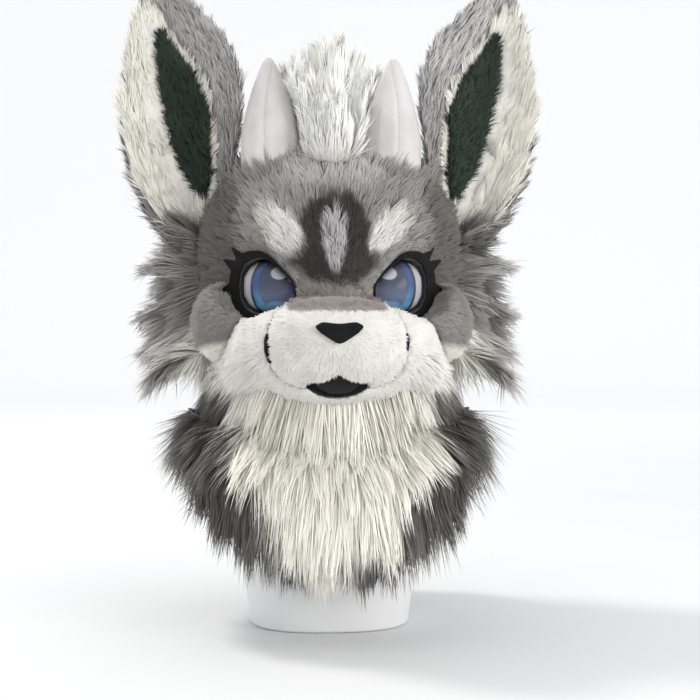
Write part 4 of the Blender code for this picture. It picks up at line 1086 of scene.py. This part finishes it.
def head_growth(points, normals):
    x, y, z = points.T
    way = unit(points - np.array((0.0, -0.125, 0.325)))
    way = way + np.outer(eased(y, 0.0, 0.11), (0, 0.0, -1.6))
    eyes = signed_gap(points, EYE_NODES)
    under = signed_gap(points, BARE_NODES)
    radial = np.stack([x, y, (z - HEAD_MIDDLE) * HEAD_SQUAT], axis=1)
    outer = np.sum(radial * normals, axis=1) > 0.02
    thick = outer & (eyes > 0.001) & (under > 0.0005)
    pile = 0.010 + 0.010 * eased(z, 0.36, 0.44)
    pile = pile + 0.008 * eased(np.abs(x), 0.08, 0.12) + 0.008 * eased(y, 0.0, 0.08)
    bridge = (1 - eased(np.abs(x), 0.03, 0.05)) * (1 - eased(z, 0.35, 0.375))
    pile = np.where(y < 0, pile * (1 - bridge) + 0.0055 * bridge, pile)
    pile = np.minimum(pile, 0.0045 + 0.75 * np.clip(eyes, 0, 1))
    # The rim's long pile flares over the neck ruff.
    rim = 1 - eased(z, 0.240, 0.270)
    aside = eased(np.abs(x), 0.055, 0.095)
    back = eased(y, 0.02, 0.09)
    pile = pile * (1 - rim) + (0.072 - 0.016 * aside) * rim
    pile = np.minimum(pile, 0.072 - 0.024 * back)
    flare = np.stack([5.0 * x * (1 - back), 3.0 * y * (1 - back), np.full(len(x), -1.0)], axis=1)
    way = blended(way, flare, rim)
    # The crown's pile stands up against the horns' roots.
    horns = signed_gap(points, ["horn_left", "horn_right"])
    root = (1 - eased(horns, 0.003, 0.016)) * (y < -0.030)
    lift = 0.36 + 0.12 * bridge + 0.40 * root
    lift = lift + (0.55 * aside - 0.14) * rim * (1 - back) - (0.12 + 0.12 * rim) * back
    dense = np.where(y > 0.04, 0.45, 1.0) * (1 + 0.6 * rim)
    return {"way": way, "pile": pile + 0.010 * root, "lift": lift, "thick": thick * dense}


fur("head_fur", head_hide, 0.007, head_growth, "grey_fur", head_dye, 46000, 19,
    lock_size=0.011, lock_spread=0.26, ruffle=0.12, gather=0.6, width=0.0012)


# Cheek ruffs. The longest pile of the head, dark at the roots with pale tips, brushed out
# into points at the sides, with white sideburns below.
def ruff_dye(points):
    x, z = np.abs(points[:, 0]), points[:, 2]
    patch = patches(points, 45)
    out = eased(x + 0.010 * patch, 0.146, 0.192)
    tips = blended(np.outer(1 + 0.25 * patch, (0.245, 0.228, 0.215)), (0.60, 0.59, 0.57), out)
    low = 1 - eased(z + 0.008 * patch + 0.30 * (x - 0.13), 0.298, 0.312)
    low = low * (1 - 0.85 * eased(x + 0.006 * patch, 0.148, 0.163))
    tips = blended(tips, CREAM, low)
    return tips * blended(0.55, 0.94, low), tips


RUFF_HEIGHTS = [0.265, 0.285, 0.31, 0.34, 0.37, 0.41]
RUFF_RISE = [-1.6, -0.9, -0.45, -0.24, 0.02, 0.35]
for side, sign in (("left", 1), ("right", -1)):
    ruff = soft_form(f"cheek_ruff_{side}", [f"cheek_fur_{side}"], 0.004, 6, -0.004, 0.007)
    backed(ruff, "grey_fur", ruff_dye, 0.8, f"cheek_fur_{side}")

    def ruff_growth(points, normals):
        x, z = points[:, 0], points[:, 2]
        rise = np.interp(z, RUFF_HEIGHTS, RUFF_RISE)
        way = np.stack([np.full(len(x), sign * 0.9), np.full(len(x), 0.12), rise], axis=1)
        hidden = signed_gap(points, ["head_shell", f"cheek_{side}"])
        low = 1 - eased(z, 0.285, 0.315)
        pile = 0.036 - 0.014 * eased(np.abs(x), 0.150, 0.195) + 0.010 * low
        return {"way": way, "pile": pile, "lift": 0.16 + 0.08 * low, "thick": hidden > 0.0005}

    fur(f"cheek_ruff_fur_{side}", ruff, 0.008, ruff_growth, "grey_fur", ruff_dye, 12500, 23, long_strand,
        lock_size=0.015, gather=0.6, lock_spread=0.15, ruffle=0.06, width=0.0015, shortest=0.5)


# Neck ruff. Long pile on the neck cloth, hanging over the stand: a cream bib in front, dark
# sides with pale tips, and the dark mane behind.
COLLAR_NODES = ["bib_fur", "ruff_fur_left", "ruff_fur_right", "ruff_fur_back"]
HEM_ACROSS = [0, 0.050, 0.075, 0.100, 0.120, 0.137, 0.151]
HEM_HEIGHTS = [0.044, 0.053, 0.070, 0.092, 0.108, 0.120, 0.138]
BIB_HEIGHTS = [0.05, 0.08, 0.10, 0.144, 0.17, 0.22]
BIB_EDGE_DEGREES = [11, 15, 20, 32, 39, 46]


def collar_dye(points):
    x, y, z = points.T
    patch = patches(points, 35)
    turn = np.degrees(np.arctan2(np.abs(x), -y))
    edge = np.interp(z, BIB_HEIGHTS, BIB_EDGE_DEGREES) + 5 * patch
    side = eased(turn, edge - 3, edge + 4)
    pale = eased(turn, 62, 84) * (1 - eased(turn, 105, 125)) * eased(patch, -4, 2)
    grey_tip = blended((0.125, 0.115, 0.108), (0.62, 0.61, 0.59), 0.8 * pale)
    tips = blended(CREAM, grey_tip, side)
    roots = blended(np.multiply(CREAM, 0.93), (0.036, 0.032, 0.030), side)
    # A dark tuft low in the bib.
    tuft = (1 - eased(np.hypot((x - 0.028) / 0.024, (z - 0.078) / 0.030), 0.6, 1.1)) * (y < 0)
    return roots, blended(tips, (0.10, 0.095, 0.09), 0.85 * tuft)


def collar_hem(x):
    """The height of the ruff's lower edge: it hangs lowest in the middle."""
    return np.interp(np.abs(x), HEM_ACROSS, HEM_HEIGHTS)


def collar_growth(points, normals):
    x, y, z = points.T
    radial = unit(np.stack([x, y, 0 * z], axis=1), 1e-4)
    facing = np.sum(radial * normals, axis=1)
    outer = ((facing > 0.35) & (normals[:, 2] > -0.7)) | ((normals[:, 2] > 0.3) & (facing > -0.25))
    hidden = signed_gap(points, ["head_shell", "jaw", "stand_plinth"])
    room = z - collar_hem(x)
    thick = outer & (hidden > 0.0006) & (room > 0.030)
    pile = np.clip(room * 1.10, 0.030, 0.072) - 0.020 * eased(z, 0.150, 0.185)
    pile = pile * (1 + 0.25 * patches(points, 75))
    pile = np.where(y > 0.07, np.minimum(pile, 0.036), pile)
    on_top = (normals[:, 2] > 0.5) & (y > -0.02)
    pile = np.where(on_top, np.minimum(pile, 0.026), pile)
    return {"way": radial * 0.16 + np.array((0, 0, -1.0)), "pile": pile,
            "lift": 0.11 + 0.12 * eased(np.abs(x), 0.09, 0.13),
            "thick": thick * np.where(y < 0.02, 1.0, 0.6)}


# The form is wide under the cheeks, drawn back under the chin, and narrows upwards behind.
WIDE_HEIGHTS = [0.100, 0.125, 0.150, 0.165, 0.185, 0.205, 0.220]
WIDE_AHEAD = [1.02, 1.00, 0.94, 0.93, 1.02, 1.16, 1.25]
NARROW_BEHIND = 0.87
SHOULDER_LIFT = 0.013
HIDE_ABOVE_HEM = 0.032
collar = soft_form("neck_ruff", COLLAR_NODES, 0.0045, 36, -0.005, 0.007)
for vertex in collar.data.vertices:
    x, y, z = vertex.co
    behind = min(1.0, max(0.0, y / 0.05))
    wide = float(np.interp(z, WIDE_HEIGHTS, WIDE_AHEAD))
    narrow = float(np.interp(z, [0.180, 0.222], [1.0, NARROW_BEHIND]))
    vertex.co.x *= wide + (narrow - wide) * behind
    vertex.co.y *= float(np.interp(z, [0.183, 0.222], [1.0, 0.86 if y < 0 else 0.90]))
    if abs(x) > 0.10 and z > 0.18 and y < 0.05:
        outer = min(1, (z - 0.18) / 0.03) * min(1, (abs(x) - 0.10) / 0.03)
        vertex.co.z += SHOULDER_LIFT * outer * (1 - behind)
    hem = float(collar_hem(vertex.co.x)) + HIDE_ABOVE_HEM
    if vertex.co.z < hem:
        vertex.co.z = hem + (vertex.co.z - hem) * 0.1
collar.data.update()
backed(collar, "dark_fur", collar_dye, 1.0, *COLLAR_NODES)
fur("neck_ruff_fur", collar, 0.009, collar_growth, "dark_fur", collar_dye, 33000, 29, long_strand, 0.08,
    lock_size=0.015, gather=0.7, lock_spread=0.22, ruffle=0.09, width=0.0014, droop=0.05,
    shortest=0.42)


# Tuft. A fan of long white pile on a small stuffed form, sewn into the crown between the horns
# and brushed upwards.
def tuft_dye(points):
    tips = np.outer(1 + 0.05 * patches(points, 50), (0.94, 0.935, 0.90))
    return tips * 0.95, tips


def tuft_growth(points, normals):
    ahead = 1 - eased(points[:, 1], -0.045, -0.015)
    way = (points - np.array((0.0, -0.035, 0.43))) * np.array((0.9, 1.0, 1.5))
    way[:, 0] *= 1 - 0.75 * ahead
    hidden = signed_gap(points, ["head_shell"])
    horns = signed_gap(points, ["horn_left", "horn_right"])
    pile = np.clip(0.608 - 13 * points[:, 0] ** 2 - points[:, 2], 0.015, 0.042)
    pile = np.minimum(pile, 0.012 + 1.2 * np.clip(horns, 0, 1))
    return {"way": way, "pile": pile, "lift": 0.2, "thick": (hidden > 0.004) & (horns > 0.001)}


# The form keeps clear of the horns and is rounded off on top.
TUFT_HEIGHTS = [0.486, 0.517, 0.537, 0.5575, 0.58]
TUFT_ROOM = [0.028, 0.032, 0.038, 0.045, 0.052]
TUFT_TOP = 0.593
tuft = soft_form("crown_tuft", ["hair_tuft"], 0.0035, 6, -0.001, 0.004)
for vertex in tuft.data.vertices:
    room = float(np.interp(vertex.co.z, TUFT_HEIGHTS, TUFT_ROOM))
    room += 1.7 * max(0.0, vertex.co.y + 0.035)
    vertex.co.x = max(-room, min(room, vertex.co.x))
    vertex.co.z = min(vertex.co.z, TUFT_TOP - 14 * vertex.co.x ** 2)
tuft.data.update()
backed(tuft, "white_fur", tuft_dye, 1.0, "hair_tuft")
fur("crown_tuft_fur", tuft, 0.007, tuft_growth, "white_fur", tuft_dye, 13000, 31, long_strand, 0.06,
    lock_size=0.014, gather=0.6, lock_spread=0.22, ruffle=0.06, width=0.0018, shortest=0.6)
bpy.data.objects.remove(short_strand)
bpy.data.objects.remove(long_strand)


# Table and light. A plain pale table that rises far behind into a backdrop, a broad soft light
# from the right in front, a small lamp high on the left behind, and a pale room all round.
def pale_table(place):
    grain = mottle(place, 3.0).between(0.3, 0.7)
    near = place.blend(rgb(0.75, 0.75, 0.755), rgb(0.735, 0.735, 0.74), grain)
    return {"Base Color": near.to(rgb(0.94, 0.94, 0.945), place.part(1).between(0.5, 3.0))}


TABLE_HALF = 5.0
TABLE_DROP = 0.0002
BEND_START, BEND_SIZE = 4.2, 0.8
profile = [(-TABLE_HALF, 0.0), (BEND_START, 0.0)]
for angle in np.linspace(0.1, math.pi / 2, 14):
    profile.append((BEND_START + BEND_SIZE * math.sin(angle), BEND_SIZE - BEND_SIZE * math.cos(angle)))
profile.append((BEND_START + BEND_SIZE, 6.0))
sweep = bpy.data.meshes.new("table")
sweep.from_pydata(
    [(side, y, z - TABLE_DROP) for y, z in profile for side in (-TABLE_HALF, TABLE_HALF)],
    [],
    [(2 * i, 2 * i + 1, 2 * i + 3, 2 * i + 2) for i in range(len(profile) - 1)],
)
table = placed("table", sweep)
table.data.materials.append(finish_of("table_white", pale_table, Roughness=0.6))
table.data.shade_smooth()

room = bpy.data.worlds.new("room")
room.use_nodes = True
room.node_tree.nodes["Background"].inputs["Color"].default_value = rgb(0.98, 0.99, 1.0)
room.node_tree.nodes["Background"].inputs["Strength"].default_value = 1.03
bpy.context.scene.world = room


def soft_light(name, place, size, power, colour):
    data = bpy.data.lights.new(name, "AREA")
    data.shape = "DISK"
    data.size = size
    data.energy = power
    data.color = colour
    light = placed(name, data)
    light.location = place
    light.rotation_euler = (Vector(place) - Vector((0, 0, 0.3))).to_track_quat("Z", "Y").to_euler()


soft_light("window", (1.6, -1.5, 0.7), 1.1, 19, (1.0, 0.995, 0.985))
soft_light("lamp", (-1.1, 0.5, 2.2), 0.45, 24, (1.0, 0.99, 0.97))
bpy.context.scene.view_settings.view_transform = "Standard"
